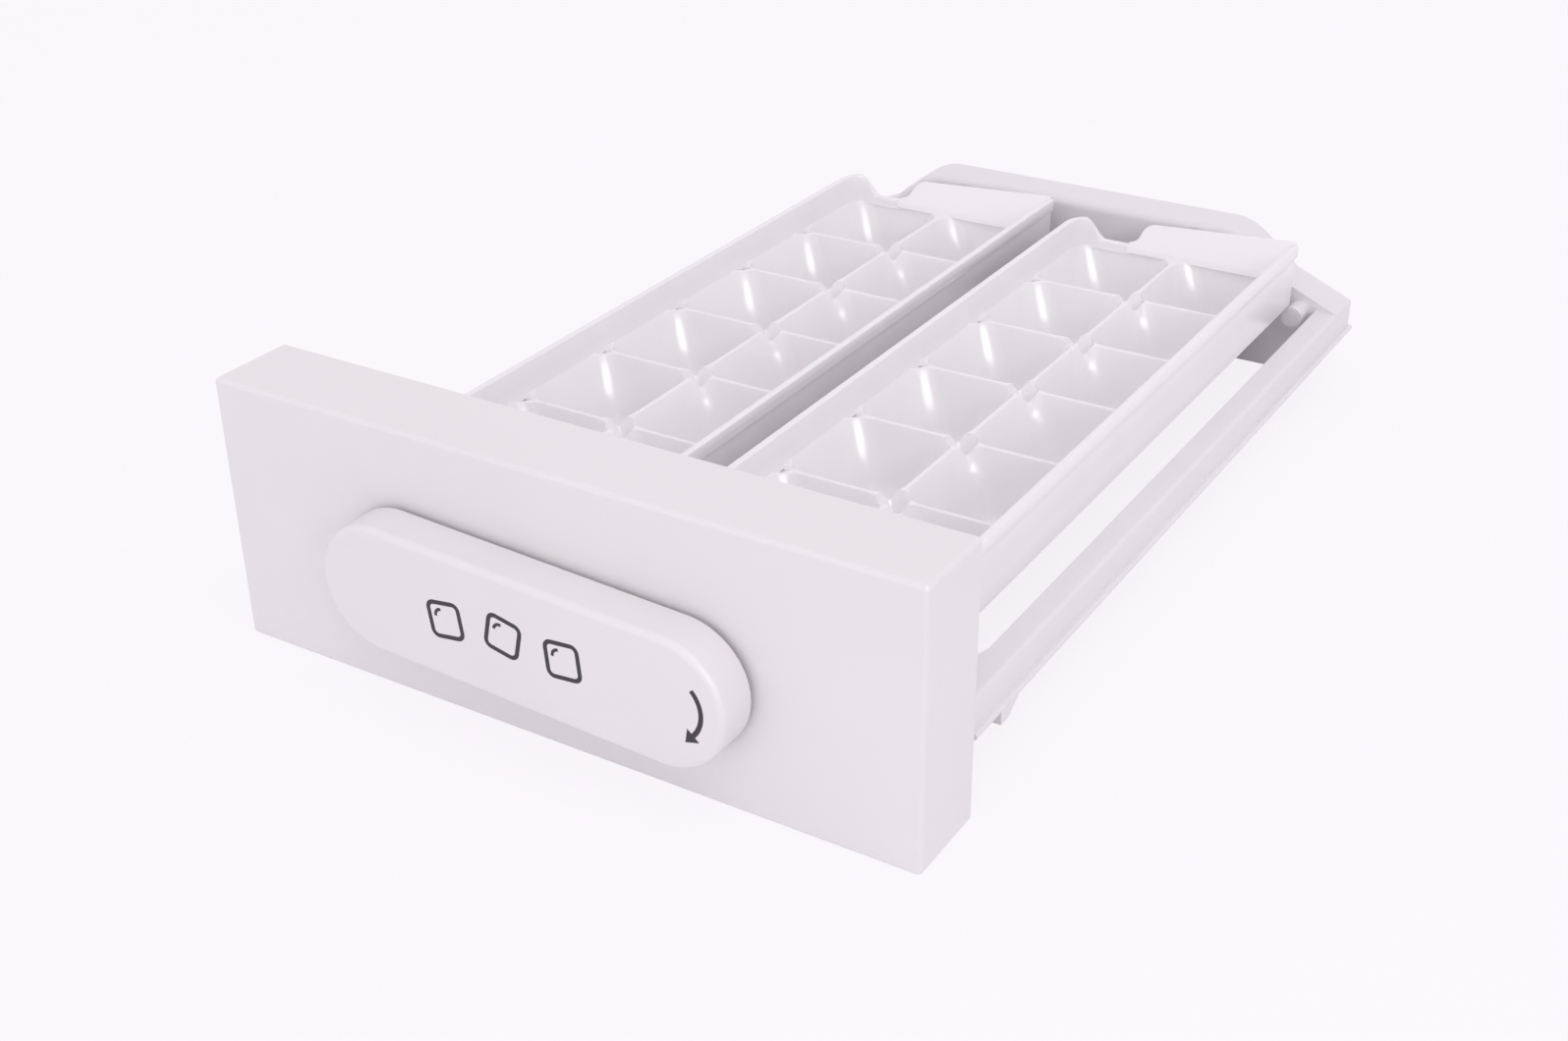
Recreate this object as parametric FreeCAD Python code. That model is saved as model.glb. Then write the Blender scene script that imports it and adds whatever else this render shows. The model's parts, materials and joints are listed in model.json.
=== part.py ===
"""Twist ice maker for a freezer: a front cover with a turning lever, two ice trays and a carrier frame.

Millimetres, +Z up, +Y from the front cover to the rear wall. The origin is at the middle of the front
cover's base. Turning the lever clockwise, as seen from the front, turns both trays the other way.
"""
import FreeCAD, Part
import math
import os

from FreeCAD import Vector

os.makedirs("parts", exist_ok=True)

# Ice trays
tray_width = 74.0
tray_rim_z = 46.5
tray_skirt_bottom_z = 25.3
tray_wall = 1.5
tray_bead_height = 3.8
tray_bead_width = 0.7
tray_bead_round = 0.5
tray_corner_radius = 2.0
tray_ear_radius = 9.5
tray_least_radius = 0.4
tray_skirt_curl = 0.9
tray_front_reach = 26.0
deck_z = 37.7
deck_thickness = 1.8

# Ice cells in each tray
cell_columns = 2
cell_rows = 6
cell_row_pitch = 38.5
cell_crest_width = 1.2
cell_side_ledge = 0.4
cell_front_ledge = 0.7
cell_depth = 22.5
cell_wall = 1.5
cell_corner_radius = 7.0
cell_side_draft = 7.5
cell_end_draft = 4.0
cell_floor_curve = 7.4
cell_floor_corner = 7.9
cell_deck_reach = 0.8
cell_mouth_over = 0.02
notch_depth = 4.5
notch_half_width = 4.0
notch_post_radius = 6.2

# Rear end of each tray: overflow dip in the back wall, and a raised land behind a step in the plan
overflow_start = 4.5
overflow_side_run = 6.3
overflow_floor_z = 39.4
overflow_curve = 3.0
overflow_wall = 1.9
overflow_front_margin = 1.5
step_from_side = 22.0
step_outer_radius = 3.6
step_inner_radius = 2.5
land_depth = 9.1
land_front_lift = 0.3
land_ramp_run = 3.6
land_left_ramp_z = 39.9
land_left_rear_z = 42.5
land_right_ramp_z = 42.0
land_right_rear_z = 46.0
land_side_over = 2.0
rim_cut_over = 5.0

# Tab at the left rear of each tray, which lands on a stop peg
tab_width = 14.0
tab_height = 6.0

# Turning axes
axis_z = 35.0
swing_clearance = 4.25
lever_turn = 90.0

# Gear train
drive_teeth = 42
tray_teeth = 27
gear_face_width = 5.0
gear_backlash = 0.24
gear_key_setback = 0.2
drive_tooth_angle = 90.0
involute_steps = 4
root_spread = 0.004
pressure_angle = 20.0
gear_web_recess = 1.2
gear_rim_width = 3.4
gear_hub_wall = 1.6
drive_hub_wall = 3.0
drive_web_thickness = 2.0
counterbore_depth = 4.5

# Carrier frame
rail_width = 7.1
rail_top_z = 22.6
rail_bottom_z = 12.3
rail_wall = 2.3
rail_lip_width = 1.5
rail_lip_height = 1.7
rail_lip_front_y = 25.0
rail_corner_radius = 1.2
gusset_length = 37.5
gusset_width = 11.0
bump_front_y = 38.0
bump_length = 9.0
bump_drop = 3.3
bump_flat_share = 0.45
rail_lip_setback = 0.4
rail_lip_round = 0.7
bulkhead_thickness = 3.0
bulkhead_recess = 0.5

# Rear cross wall
rear_gap = 5.3
rear_wall_depth = 15.0
rear_wall_skin = 2.5
rear_wall_top_z = 45.2
rear_top_half_width = 51.0
rear_shoulder_radius = 18.0
rear_shoulder_slope = 40.0
rear_valley_z = 30.0
rear_end_z = 22.4
rear_foot_inset = 12.0
rear_front_lip_radius = 3.2
rear_back_lip_radius = 1.5

# Twist stop pegs on the rear wall
peg_radius = 3.4
peg_length = 8.0
peg_reach = 2.35
peg_landing_gap = 1.0

# Front cover
cover_height = 74.0
cover_depth = 24.0
cover_wall = 2.5
cover_overhang = 6.9
cover_edge_radius = 1.3
cover_clearance = 0.3

# Lever
lever_end_radius = 17.0
lever_centre_span = 81.6
lever_thickness = 11.2
lever_standoff = 1.6
lever_edge_radius = 1.7
lever_shell = 2.4
lever_rest_tilt = 2.6
lever_rib_thickness = 1.8
lever_rib_place = 0.62
lever_key_root = 2.0
lever_hub_radius = 11.0
spindle_radius = 8.0
spindle_key_radius = 5.6
spindle_key_flat = 4.2

# Journals, bushes and fits
running_fit = 0.05
key_clearance = 0.05
end_play = 0.3
bush_wall = 2.0
bush_flange = 1.5
bush_flange_width = 2.2
front_journal_radius = 6.0
front_key_radius = 5.0
front_key_flat = 3.7
rear_journal_radius = 4.0
rear_journal_length = 12.0
rear_boss_wall = 3.0
tray_boss_radius = 8.6
tray_rib_start = 6.0
tray_rib_reach = 9.0
drive_journal_radius = 7.0
lever_flange_thickness = 0.7

# Screws and washers
screw_shank_radius = 1.45
screw_head_radius = 3.2
screw_head_height = 1.9
screw_length = 11.0
screw_hole_clearance = 0.05
screw_passage_radius = 1.9
screw_slot_width = 0.9
screw_slot_depth = 0.8
screw_slot_reach = 2.0
screw_head_round = 0.6
washer_bore_clearance = 0.25
washer_thickness = 0.8
washer_margin = 0.9
cover_screw_inset = 8.5
cover_boss_radius = 3.6
cover_web_thickness = 1.6

# Return springs
spring_wire = 1.2
spring_turns = 4
spring_pitch = 1.7
spring_running_gap = 1.4
spring_leg = 5.0
spring_post_radius = 1.5
spring_post_margin = 0.6
spring_post_setback = 1.2
spring_end_room = 1.0
spring_start_angle = 250.0

# Stop lug on the drive gear
lug_inner_radius = 18.5
lug_outer_radius = 23.5
lug_half_angle = 7.0
lug_rest_angle = 225.0
stop_gap = 0.3
stop_half_angle = 5.0
lug_end_gap = 2.0

# Derived places
tray_half = tray_width / 2.0
tray_inset = tray_wall + tray_bead_width
tray_sweep = math.hypot(tray_half, max(tray_rim_z - axis_z, axis_z - tray_skirt_bottom_z))
tray_axis_x = tray_sweep + swing_clearance
rail_inner_x = tray_axis_x + tray_sweep + swing_clearance
rail_outer_x = rail_inner_x + rail_width
cover_width = 2.0 * (rail_outer_x + cover_overhang)
cover_front_y = -cover_depth / 2.0
cover_back_y = cover_depth / 2.0
cover_inner_y = cover_front_y + cover_wall
bulkhead_back_y = cover_back_y - bulkhead_recess
bulkhead_front_y = bulkhead_back_y - bulkhead_thickness
gear_back_y = bulkhead_front_y - spring_turns * spring_pitch - spring_wire - spring_end_room
gear_front_y = gear_back_y - gear_face_width
tray_turn = lever_turn * drive_teeth / tray_teeth
gear_module = 2.0 * tray_axis_x / (drive_teeth + tray_teeth)
tray_front_y = bulkhead_back_y + tray_front_reach
cells_front_y = tray_front_y + tray_inset + cell_front_ledge
cells_rear_y = cells_front_y + cell_rows * cell_row_pitch - cell_crest_width
pool_rear_y = cells_rear_y + cell_side_ledge
tray_back_y = pool_rear_y + overflow_wall
tray_rear_y = tray_back_y + land_depth
rear_wall_front_y = tray_rear_y + rear_gap
rear_wall_back_y = rear_wall_front_y + rear_wall_depth
lever_back_y = cover_front_y - lever_standoff
lever_front_y = lever_back_y - lever_thickness
spring_radius = front_journal_radius + spring_running_gap + spring_wire / 2.0
spring_start_y = gear_back_y + end_play + spring_wire / 2.0
spring_end_angle = spring_start_angle + 360.0 * spring_turns
spring_end_y = spring_start_y + spring_turns * spring_pitch
tray_gear_hub_radius = front_journal_radius + gear_hub_wall
drive_gear_hub_radius = drive_journal_radius + drive_hub_wall
lever_washer_radius = screw_head_radius + washer_margin
drive_web_back_y = bulkhead_back_y - counterbore_depth
key_end_y = drive_web_back_y - drive_web_thickness

# How far a cut runs past a face, and how far joined bodies of one moulding reach into each other
cut_over = 1.0
root = 0.5


def box(x0, y0, z0, x1, y1, z1):
    """Block between two corners."""
    return Part.makeBox(x1 - x0, y1 - y0, z1 - z0, Vector(x0, y0, z0))


def rod(radius, x, z, y0, y1):
    """Round bar along Y."""
    return Part.makeCylinder(radius, y1 - y0, Vector(x, y0, z), Vector(0, 1, 0))


def tube(outer, inner, x, z, y0, y1):
    """Hollow round bar along Y."""
    return rod(outer, x, z, y0, y1).cut(rod(inner, x, z, y0 - cut_over, y1 + cut_over))


def fuse_all(first, others):
    """One solid out of pieces that overlap."""
    return first.multiFuse(others).removeSplitter()


def prism_y(points, y0, y1):
    """Flat outline in X and Z, pushed along Y."""
    corners = [Vector(x, y0, z) for x, z in points]
    face = Part.Face(Part.makePolygon(corners + corners[:1]))
    return face.extrude(Vector(0, y1 - y0, 0))


def prism_z(points, z0, z1):
    """Flat outline in X and Y, pushed along Z."""
    corners = [Vector(x, y, z0) for x, y in points]
    face = Part.Face(Part.makePolygon(corners + corners[:1]))
    return face.extrude(Vector(0, 0, z1 - z0))


def round_edges(shape, radius, chosen):
    """Round the edges that the given test picks."""
    edges = [edge for edge in shape.Edges if chosen(edge)]
    return shape.makeFillet(radius, edges)


def runs_along(edge, axis):
    """True for a straight edge along the given axis."""
    if not isinstance(edge.Curve, (Part.Line, Part.LineSegment)):
        return False
    direction = edge.tangentAt(edge.FirstParameter)
    return abs(direction.dot(axis)) > 0.999


def polar(radius, angle):
    """Point in X and Z at an angle from +X towards +Z."""
    turn = math.radians(angle)
    return radius * math.cos(turn), radius * math.sin(turn)


def sector(inner, outer, middle_angle, half_angle, x, z, y0, y1):
    """Part of a ring round an axis along Y."""
    steps = 6
    angles = [middle_angle + half_angle * (2.0 * i / steps - 1.0) for i in range(steps + 1)]
    far = [polar(outer, angle) for angle in angles]
    near = [polar(inner, angle) for angle in reversed(angles)]
    return prism_y([(x + u, z + v) for u, v in far + near], y0, y1)


def keyed_rod(radius, flat, x, z, y0, y1):
    """Round bar with one flat on its upper side."""
    bar = rod(radius, x, z, y0, y1)
    side = radius + cut_over
    return bar.cut(box(x - side, y0 - cut_over, z + flat, x + side, y1 + cut_over, z + side))


def two_flat_rod(radius, flat, x, z, y0, y1):
    """Round bar with a flat above and a flat below."""
    bar = keyed_rod(radius, flat, x, z, y0, y1)
    side = radius + cut_over
    return bar.cut(box(x - side, y0 - cut_over, z - side, x + side, y1 + cut_over, z - flat))


def gear_outline(teeth, phase):
    """Involute gear profile. The first tooth's middle is at the phase angle."""
    pitch_radius = gear_module * teeth / 2.0
    base_radius = pitch_radius * math.cos(math.radians(pressure_angle))
    tip_radius = pitch_radius + gear_module
    root_radius = pitch_radius - 1.25 * gear_module
    start_radius = max(base_radius, root_radius)

    def involute(radius):
        roll = math.sqrt(max((radius / base_radius) ** 2 - 1.0, 0.0))
        return roll - math.atan(roll)

    half_tooth = math.pi / (2.0 * teeth) - gear_backlash / (4.0 * pitch_radius) + involute(pitch_radius)
    rise = (tip_radius - start_radius) / involute_steps
    radii = [start_radius + rise * i for i in range(involute_steps + 1)]
    flank = [(radius, half_tooth - involute(radius)) for radius in radii]
    if root_radius < start_radius:
        flank.insert(0, (root_radius, half_tooth + root_spread))
    points = []
    for tooth in range(teeth):
        middle = math.radians(phase) + 2.0 * math.pi * tooth / teeth
        rising = [(radius, middle - offset) for radius, offset in flank]
        falling = [(radius, middle + offset) for radius, offset in reversed(flank)]
        points += [(r * math.cos(a), r * math.sin(a)) for r, a in rising + falling]
    return points


def gear_blank(teeth, phase, x, z):
    """Toothed disc with a thinner web between rim and hub."""
    outline = [(x + u, z + v) for u, v in gear_outline(teeth, phase)]
    disc = prism_y(outline, gear_front_y, gear_back_y)
    rim_inner = gear_module * (teeth / 2.0 - 1.25) - gear_rim_width
    hub_outer = tray_gear_hub_radius if teeth == tray_teeth else drive_gear_hub_radius
    recess = tube(rim_inner, hub_outer, x, z, gear_front_y - cut_over, gear_front_y + gear_web_recess)
    return disc.cut(recess)


def mesh_phase():
    """Angle of one tooth of the right tray gear, so that it meshes with the drive gear."""
    drive_pitch = 360.0 / drive_teeth
    tray_pitch = 360.0 / tray_teeth
    offset = (drive_tooth_angle % drive_pitch) * drive_teeth / tray_teeth
    return 180.0 - offset + tray_pitch / 2.0


def make_drive_gear():
    """Large gear on the lever's spindle, with a rear journal and a stop lug."""
    gear = gear_blank(drive_teeth, drive_tooth_angle, 0.0, axis_z)
    front_hub = rod(drive_gear_hub_radius, 0.0, axis_z, cover_inner_y + end_play, gear_back_y)
    rear_journal = rod(drive_journal_radius, 0.0, axis_z, gear_back_y - root, bulkhead_back_y - end_play)
    shoulder = rod(drive_gear_hub_radius, 0.0, axis_z, gear_back_y - root, bulkhead_front_y - end_play)
    lug = sector(
        lug_inner_radius, lug_outer_radius, lug_rest_angle, lug_half_angle,
        0.0, axis_z, gear_back_y - root, bulkhead_front_y - lug_end_gap,
    )
    gear = fuse_all(gear, [front_hub, rear_journal, shoulder, lug])
    key = two_flat_rod(
        spindle_key_radius + key_clearance, spindle_key_flat + key_clearance,
        0.0, axis_z, cover_inner_y - cut_over, key_end_y + end_play,
    )
    counterbore = rod(
        lever_washer_radius + key_clearance, 0.0, axis_z, drive_web_back_y, bulkhead_back_y + cut_over,
    )
    passage = rod(screw_passage_radius, 0.0, axis_z, key_end_y, drive_web_back_y + cut_over)
    return gear.cut(key).cut(counterbore).cut(passage)


def make_tray_gear(side):
    """Gear keyed to a tray's front journal. The left one is the right one's mirror image."""
    gear = gear_blank(tray_teeth, mesh_phase(), tray_axis_x, axis_z)
    bore = keyed_rod(
        front_key_radius + key_clearance, front_key_flat + key_clearance,
        tray_axis_x, axis_z, gear_front_y - cut_over, gear_back_y + cut_over,
    )
    gear = gear.cut(bore)
    u, v = gear_leg_point()
    post = rod(
        spring_post_radius, tray_axis_x + u, axis_z + v,
        gear_back_y - root, gear_back_y + end_play + spring_wire + spring_post_margin,
    )
    gear = gear.fuse(post)
    return gear if side > 0 else mirrored(gear)


def mirrored(shape):
    """The same piece on the left side."""
    return shape.mirror(Vector(0, 0, 0), Vector(1, 0, 0))


def spring_point(angle, y):
    """Point of the right return spring's centre line."""
    u, v = polar(spring_radius, angle)
    return Vector(tray_axis_x + u, y, axis_z + v)


def leg_tip(angle, sense):
    """Tip of a spring leg, straight on from the coil at the given angle, relative to the axis."""
    u, v = polar(spring_radius, angle)
    along_u, along_v = polar(spring_leg * sense, angle + 90.0)
    return u + along_u, v + along_v


def post_beside(angle, sense):
    """Centre of the post that a spring leg rests against, on the leg's outer side."""
    u, v = leg_tip(angle, sense)
    back_u, back_v = polar(-spring_post_setback * sense, angle + 90.0)
    out_u, out_v = polar(spring_wire / 2.0 + spring_post_radius + end_play, angle)
    return u + back_u + out_u, v + back_v + out_v


def gear_leg_point():
    """Post on the tray gear, relative to the axis."""
    return post_beside(spring_start_angle, -1.0)


def bulkhead_leg_point():
    """Post on the bulkhead, relative to the axis."""
    return post_beside(spring_end_angle, 1.0)


def biarc(start, start_way, end, end_way):
    """Two arcs that join two points smoothly along the given directions."""
    span = end - start
    ways = start_way + end_way
    square = span.dot(span)
    lean = span.dot(ways)
    bend = 2.0 * (1.0 - start_way.dot(end_way))
    reach = (-lean + math.sqrt(lean * lean + bend * square)) / bend
    first_corner = start + start_way * reach
    second_corner = end - end_way * reach
    middle = (first_corner + second_corner) * 0.5
    return [arc(start, first_corner, middle), arc(middle, second_corner, end)]


def arc(start, corner, end):
    """Arc from start to end, tangent to both lines through the corner."""
    chord_middle = (start + end) * 0.5
    half = math.acos(min(1.0, (end - start).Length / 2.0 / (corner - start).Length))
    share = math.tan(half / 2.0) / math.tan(half)
    return Part.Arc(start, chord_middle + (corner - chord_middle) * share, end).toShape()


def helix_way(angle):
    """Direction of the spring's wire at an angle round the axis."""
    u, v = polar(1.0, angle + 90.0)
    rise = spring_pitch / (2.0 * math.pi * spring_radius)
    return Vector(u, rise, v).normalize()


def make_return_spring(side):
    """Torsion spring round a tray's front journal, one unbroken wire with two straight legs."""
    quarters = 4 * spring_turns
    angles = [spring_start_angle + 90.0 * i for i in range(quarters + 1)]
    heights = [spring_start_y + spring_pitch * i / 4.0 for i in range(quarters + 1)]
    points = [spring_point(angle, y) for angle, y in zip(angles, heights)]
    ways = [helix_way(angle) for angle in angles]
    first_tip = points[0] - ways[0] * spring_leg
    last_tip = points[-1] + ways[-1] * spring_leg
    edges = [Part.makeLine(first_tip, points[0])]
    for i in range(quarters):
        edges += biarc(points[i], ways[i], points[i + 1], ways[i + 1])
    edges.append(Part.makeLine(points[-1], last_tip))
    path = Part.Wire(edges)
    section = Part.Wire(Part.makeCircle(spring_wire / 2.0, first_tip, ways[0]))
    spring = path.makePipeShell([section], True, False)
    if side > 0:
        least = spring_gap()
        print("return spring: least gap between turns %.2f mm" % least)
        straight = math.pi * (spring_wire / 2.0) ** 2 * path.Length
        print("return spring: volume %.1f of %.1f mm3" % (spring.Volume, straight))
    return spring if side > 0 else mirrored(spring)


def spring_gap():
    """Least gap between neighbouring turns, measured on points of the centre line."""
    steps = 36
    line = []
    for i in range(steps * spring_turns + 1):
        turned = i / steps
        line.append(spring_point(spring_start_angle + 360.0 * turned, spring_start_y + spring_pitch * turned))
    least = spring_pitch
    for i, point in enumerate(line):
        for other in line[i + steps // 2:]:
            least = min(least, (other - point).Length)
    return least - spring_wire


def rounded_outline(corners):
    """Closed wire through corners in one plane, each given with the radius of the arc that rounds it."""
    count = len(corners)
    ends = []
    for i, (corner, radius) in enumerate(corners):
        before = corners[i - 1][0] - corner
        after = corners[(i + 1) % count][0] - corner
        half = before.getAngle(after) / 2.0
        before.normalize()
        after.normalize()
        inward = (before + after).normalize()
        reach = radius / math.tan(half)
        middle = corner + inward * (radius / math.sin(half) - radius)
        ends.append((corner + before * reach, middle, corner + after * reach))
    edges = []
    for i, (start, middle, end) in enumerate(ends):
        if (end - start).Length > 0.001:
            edges.append(Part.Arc(start, middle, end).toShape())
        edges.append(Part.makeLine(end, ends[(i + 1) % count][0]))
    return Part.Wire(edges)


def cell_body(bounds, grow, top_z):
    """Bowl of one ice cell. Grow widens and deepens it, to give the outside of its wall."""
    x0, y0, x1, y1 = bounds
    floor_z = deck_z - cell_depth - grow

    def ring(z):
        share = (deck_z - z) / (deck_z - floor_z)
        side = cell_side_draft * share - grow
        end = cell_end_draft * share - grow
        radius = cell_corner_radius + (cell_floor_corner - cell_corner_radius) * share + grow
        return rounded_outline([
            (Vector(x0 + side, y0 + end, z), radius), (Vector(x1 - side, y0 + end, z), radius),
            (Vector(x1 - side, y1 - end, z), radius), (Vector(x0 + side, y1 - end, z), radius),
        ])

    body = Part.makeLoft([ring(top_z), ring(floor_z)], True, True)
    return round_edges(body, cell_floor_curve + grow, lambda e: abs(e.BoundBox.ZMax - floor_z) < 0.01)


def cell_bounds():
    """Opening of each cell of the right tray at the deck."""
    left = tray_axis_x - tray_half + tray_inset + cell_side_ledge
    right = tray_axis_x + tray_half - tray_inset - cell_side_ledge
    column_pitch = (right - left + cell_crest_width) / cell_columns
    bounds = []
    for column in range(cell_columns):
        for row in range(cell_rows):
            x0 = left + column * column_pitch
            y0 = cells_front_y + row * cell_row_pitch
            x1 = x0 + column_pitch - cell_crest_width
            y1 = y0 + cell_row_pitch - cell_crest_width
            bounds.append((x0, y0, x1, y1))
    return bounds


def tray_prism(inset, z0, z1):
    """Solid of the tray's plan between two heights: a large ear at the left rear, then a step to the land."""
    x0 = tray_axis_x - tray_half + inset
    x1 = tray_axis_x + tray_half - inset
    step_x = tray_axis_x - tray_half + step_from_side + inset
    small = max(tray_corner_radius - inset, tray_least_radius)
    outline = rounded_outline([
        (Vector(x0, tray_front_y + inset, z0), small),
        (Vector(x1, tray_front_y + inset, z0), small),
        (Vector(x1, tray_rear_y - inset, z0), small),
        (Vector(step_x, tray_rear_y - inset, z0), step_outer_radius - inset),
        (Vector(step_x, tray_back_y - inset, z0), step_inner_radius + inset),
        (Vector(x0, tray_back_y - inset, z0), tray_ear_radius - inset),
    ])
    return Part.Face(outline).extrude(Vector(0, 0, z1 - z0))


def pool_prism(z0, z1):
    """Space inside the rim, over the cells."""
    x0 = tray_axis_x - tray_half + tray_inset
    x1 = tray_axis_x + tray_half - tray_inset
    y0 = tray_front_y + tray_inset
    outline = rounded_outline([
        (Vector(x0, y0, z0), tray_least_radius),
        (Vector(x1, y0, z0), tray_least_radius),
        (Vector(x1, pool_rear_y, z0), tray_least_radius),
        (Vector(x0, pool_rear_y, z0), tray_ear_radius - tray_inset),
    ])
    return Part.Face(outline).extrude(Vector(0, 0, z1 - z0))


def crossing_points():
    """Places where cross walls meet the middle wall."""
    rows = range(1, cell_rows)
    return [(tray_axis_x, cells_front_y + row * cell_row_pitch - cell_crest_width / 2.0) for row in rows]


def overflow_cut():
    """Space over the dip in the back wall, left of the land, where spare water runs out."""
    left = tray_axis_x - tray_half
    y = pool_rear_y - tray_ear_radius + tray_inset + overflow_front_margin
    start_x = left + overflow_start
    floor_x = start_x + overflow_side_run
    end_x = left + step_from_side + cut_over
    top_z = tray_rim_z + rim_cut_over
    outline = rounded_outline([
        (Vector(start_x, y, top_z), 0.0),
        (Vector(start_x, y, tray_rim_z), overflow_curve),
        (Vector(floor_x, y, overflow_floor_z), overflow_curve),
        (Vector(end_x, y, overflow_floor_z), 0.0),
        (Vector(end_x, y, top_z), 0.0),
    ])
    return Part.Face(outline).extrude(Vector(0, tray_rear_y + cut_over - y, 0))


def land_surface(x, drop):
    """Front, crease and rear points of the land at one end, lowered by the given drop."""
    left_end = x < tray_axis_x
    ramp_z = land_left_ramp_z if left_end else land_right_ramp_z
    rear_z = land_left_rear_z if left_end else land_right_rear_z
    crease_y = pool_rear_y + land_ramp_run
    past_z = rear_z + (rear_z - ramp_z) * cut_over / (tray_rear_y - crease_y)
    return [
        Vector(x, pool_rear_y - drop, deck_z + land_front_lift - drop),
        Vector(x, crease_y, ramp_z - drop),
        Vector(x, tray_rear_y + cut_over, past_z - drop),
    ]


def land_space():
    """Space over the land behind the last cells: a short ramp, then a gentle slope that rises to the right."""
    ends = []
    for x in (tray_axis_x - tray_half + step_from_side - land_side_over, tray_axis_x + tray_half - tray_inset):
        surface = land_surface(x, 0.0)
        top_z = tray_rim_z + rim_cut_over
        start = Vector(x, pool_rear_y - cut_over, surface[0].z)
        corners = [start] + surface + [Vector(x, surface[-1].y, top_z), Vector(x, start.y, top_z)]
        ends.append(Part.makePolygon(corners + corners[:1]))
    return Part.makeLoft(ends, True, True)


def land_hollow():
    """Space under the land, open below."""
    rear_y = tray_rear_y - tray_inset
    base_z = deck_z - deck_thickness - cut_over
    ends = []
    for x in (tray_axis_x - tray_half + step_from_side + tray_inset, tray_axis_x + tray_half - tray_inset):
        front, crease, rear = land_surface(x, deck_thickness)
        share = (rear_y - crease.y) / (rear.y - crease.y)
        corners = [
            Vector(x, crease.y, base_z), crease, crease + (rear - crease) * share, Vector(x, rear_y, base_z),
        ]
        ends.append(Part.makePolygon(corners + corners[:1]))
    return Part.makeLoft(ends, True, True)


def tray_tab():
    """Low hollow block behind the overflow dip, at the tray's left edge, which lands on the stop peg."""
    x0 = tray_axis_x - tray_half + tray_bead_width
    top_z = tray_skirt_bottom_z + tab_height
    front_y = tray_back_y - tray_ear_radius + tray_bead_width
    outer = box(x0, front_y, tray_skirt_bottom_z, x0 + tab_width, tray_rear_y - tray_bead_width, top_z)
    outer = round_edges(
        outer, tray_corner_radius,
        lambda e: runs_along(e, Vector(0, 0, 1)) and e.BoundBox.YMin > front_y + root
        and e.BoundBox.XMax < x0 + root,
    )
    inner = box(
        x0 + tray_wall, front_y - cut_over, tray_skirt_bottom_z - cut_over,
        x0 + tab_width - tray_wall, tray_rear_y - tray_inset, top_z - tray_wall,
    )
    return outer, inner


def tray_shell():
    """Skirt, rim, deck and land of a tray, before its cells are sunk."""
    skirt = tray_prism(tray_bead_width, tray_skirt_bottom_z, tray_rim_z - tray_bead_height + root)
    skirt = round_edges(skirt, tray_skirt_curl, lambda e: abs(e.BoundBox.ZMax - tray_skirt_bottom_z) < 0.01)
    bead = tray_prism(0.0, tray_rim_z - tray_bead_height, tray_rim_z)
    bead = round_edges(bead, tray_bead_round, lambda e: e.BoundBox.ZLength < 0.01)
    tab, tab_hollow = tray_tab()
    shell = fuse_all(skirt, [bead, tab])
    pool = pool_prism(deck_z, tray_rim_z + cut_over)
    underside = tray_prism(tray_inset, tray_skirt_bottom_z - cut_over, deck_z - deck_thickness)
    shell = shell.cut(underside).cut(tab_hollow).cut(pool)
    return shell.cut(land_space()).cut(land_hollow()).cut(overflow_cut())


def sink_cells(shell):
    """Add the walls of all cells under the deck, then hollow them and dip the crests where they cross."""
    post_bottom = deck_z - notch_depth - deck_thickness
    post_height = notch_depth + cell_deck_reach
    posts = []
    dips = []
    ball_radius = (notch_half_width ** 2 + notch_depth ** 2) / (2.0 * notch_depth)
    for x, y in crossing_points():
        posts.append(Part.makeCylinder(notch_post_radius, post_height, Vector(x, y, post_bottom)))
        dips.append(Part.makeSphere(ball_radius, Vector(x, y, deck_z - notch_depth + ball_radius)))
    cups = [cell_body(bounds, cell_wall, deck_z - deck_thickness + cell_deck_reach) for bounds in cell_bounds()]
    tray = shell.multiFuse(cups + posts)
    bowls = [cell_body(bounds, 0.0, deck_z + cell_mouth_over) for bounds in cell_bounds()]
    return tray.cut(bowls).cut(dips)


def tray_front_axle():
    """Boss, ribs, journal and key at a tray's front end."""
    shoulder_y = bulkhead_back_y + bush_flange + end_play
    root_y = tray_front_y + tray_inset - root
    boss = rod(tray_boss_radius, tray_axis_x, axis_z, shoulder_y, root_y)
    journal = rod(front_journal_radius, tray_axis_x, axis_z, gear_back_y, shoulder_y + root)
    key = keyed_rod(
        front_key_radius, front_key_flat, tray_axis_x, axis_z,
        gear_front_y + gear_key_setback, gear_back_y + root,
    )
    rib_reach = tray_boss_radius + tray_rib_reach
    ribs = prism_z([
        (tray_axis_x - tray_boss_radius, shoulder_y + tray_rib_start),
        (tray_axis_x + tray_boss_radius, shoulder_y + tray_rib_start),
        (tray_axis_x + rib_reach, root_y),
        (tray_axis_x - rib_reach, root_y),
    ], axis_z - tray_wall * 0.5, axis_z + tray_wall * 0.5)
    return [boss, journal, key, ribs]


def tray_rear_axle():
    """Boss and journal at a tray's rear end."""
    shoulder_y = rear_wall_front_y - bush_flange - end_play
    root_y = tray_rear_y - tray_inset + root
    boss = rod(rear_journal_radius + rear_boss_wall, tray_axis_x, axis_z, root_y, shoulder_y)
    journal = rod(
        rear_journal_radius, tray_axis_x, axis_z, shoulder_y - root, shoulder_y + rear_journal_length,
    )
    return [boss, journal]


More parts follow.
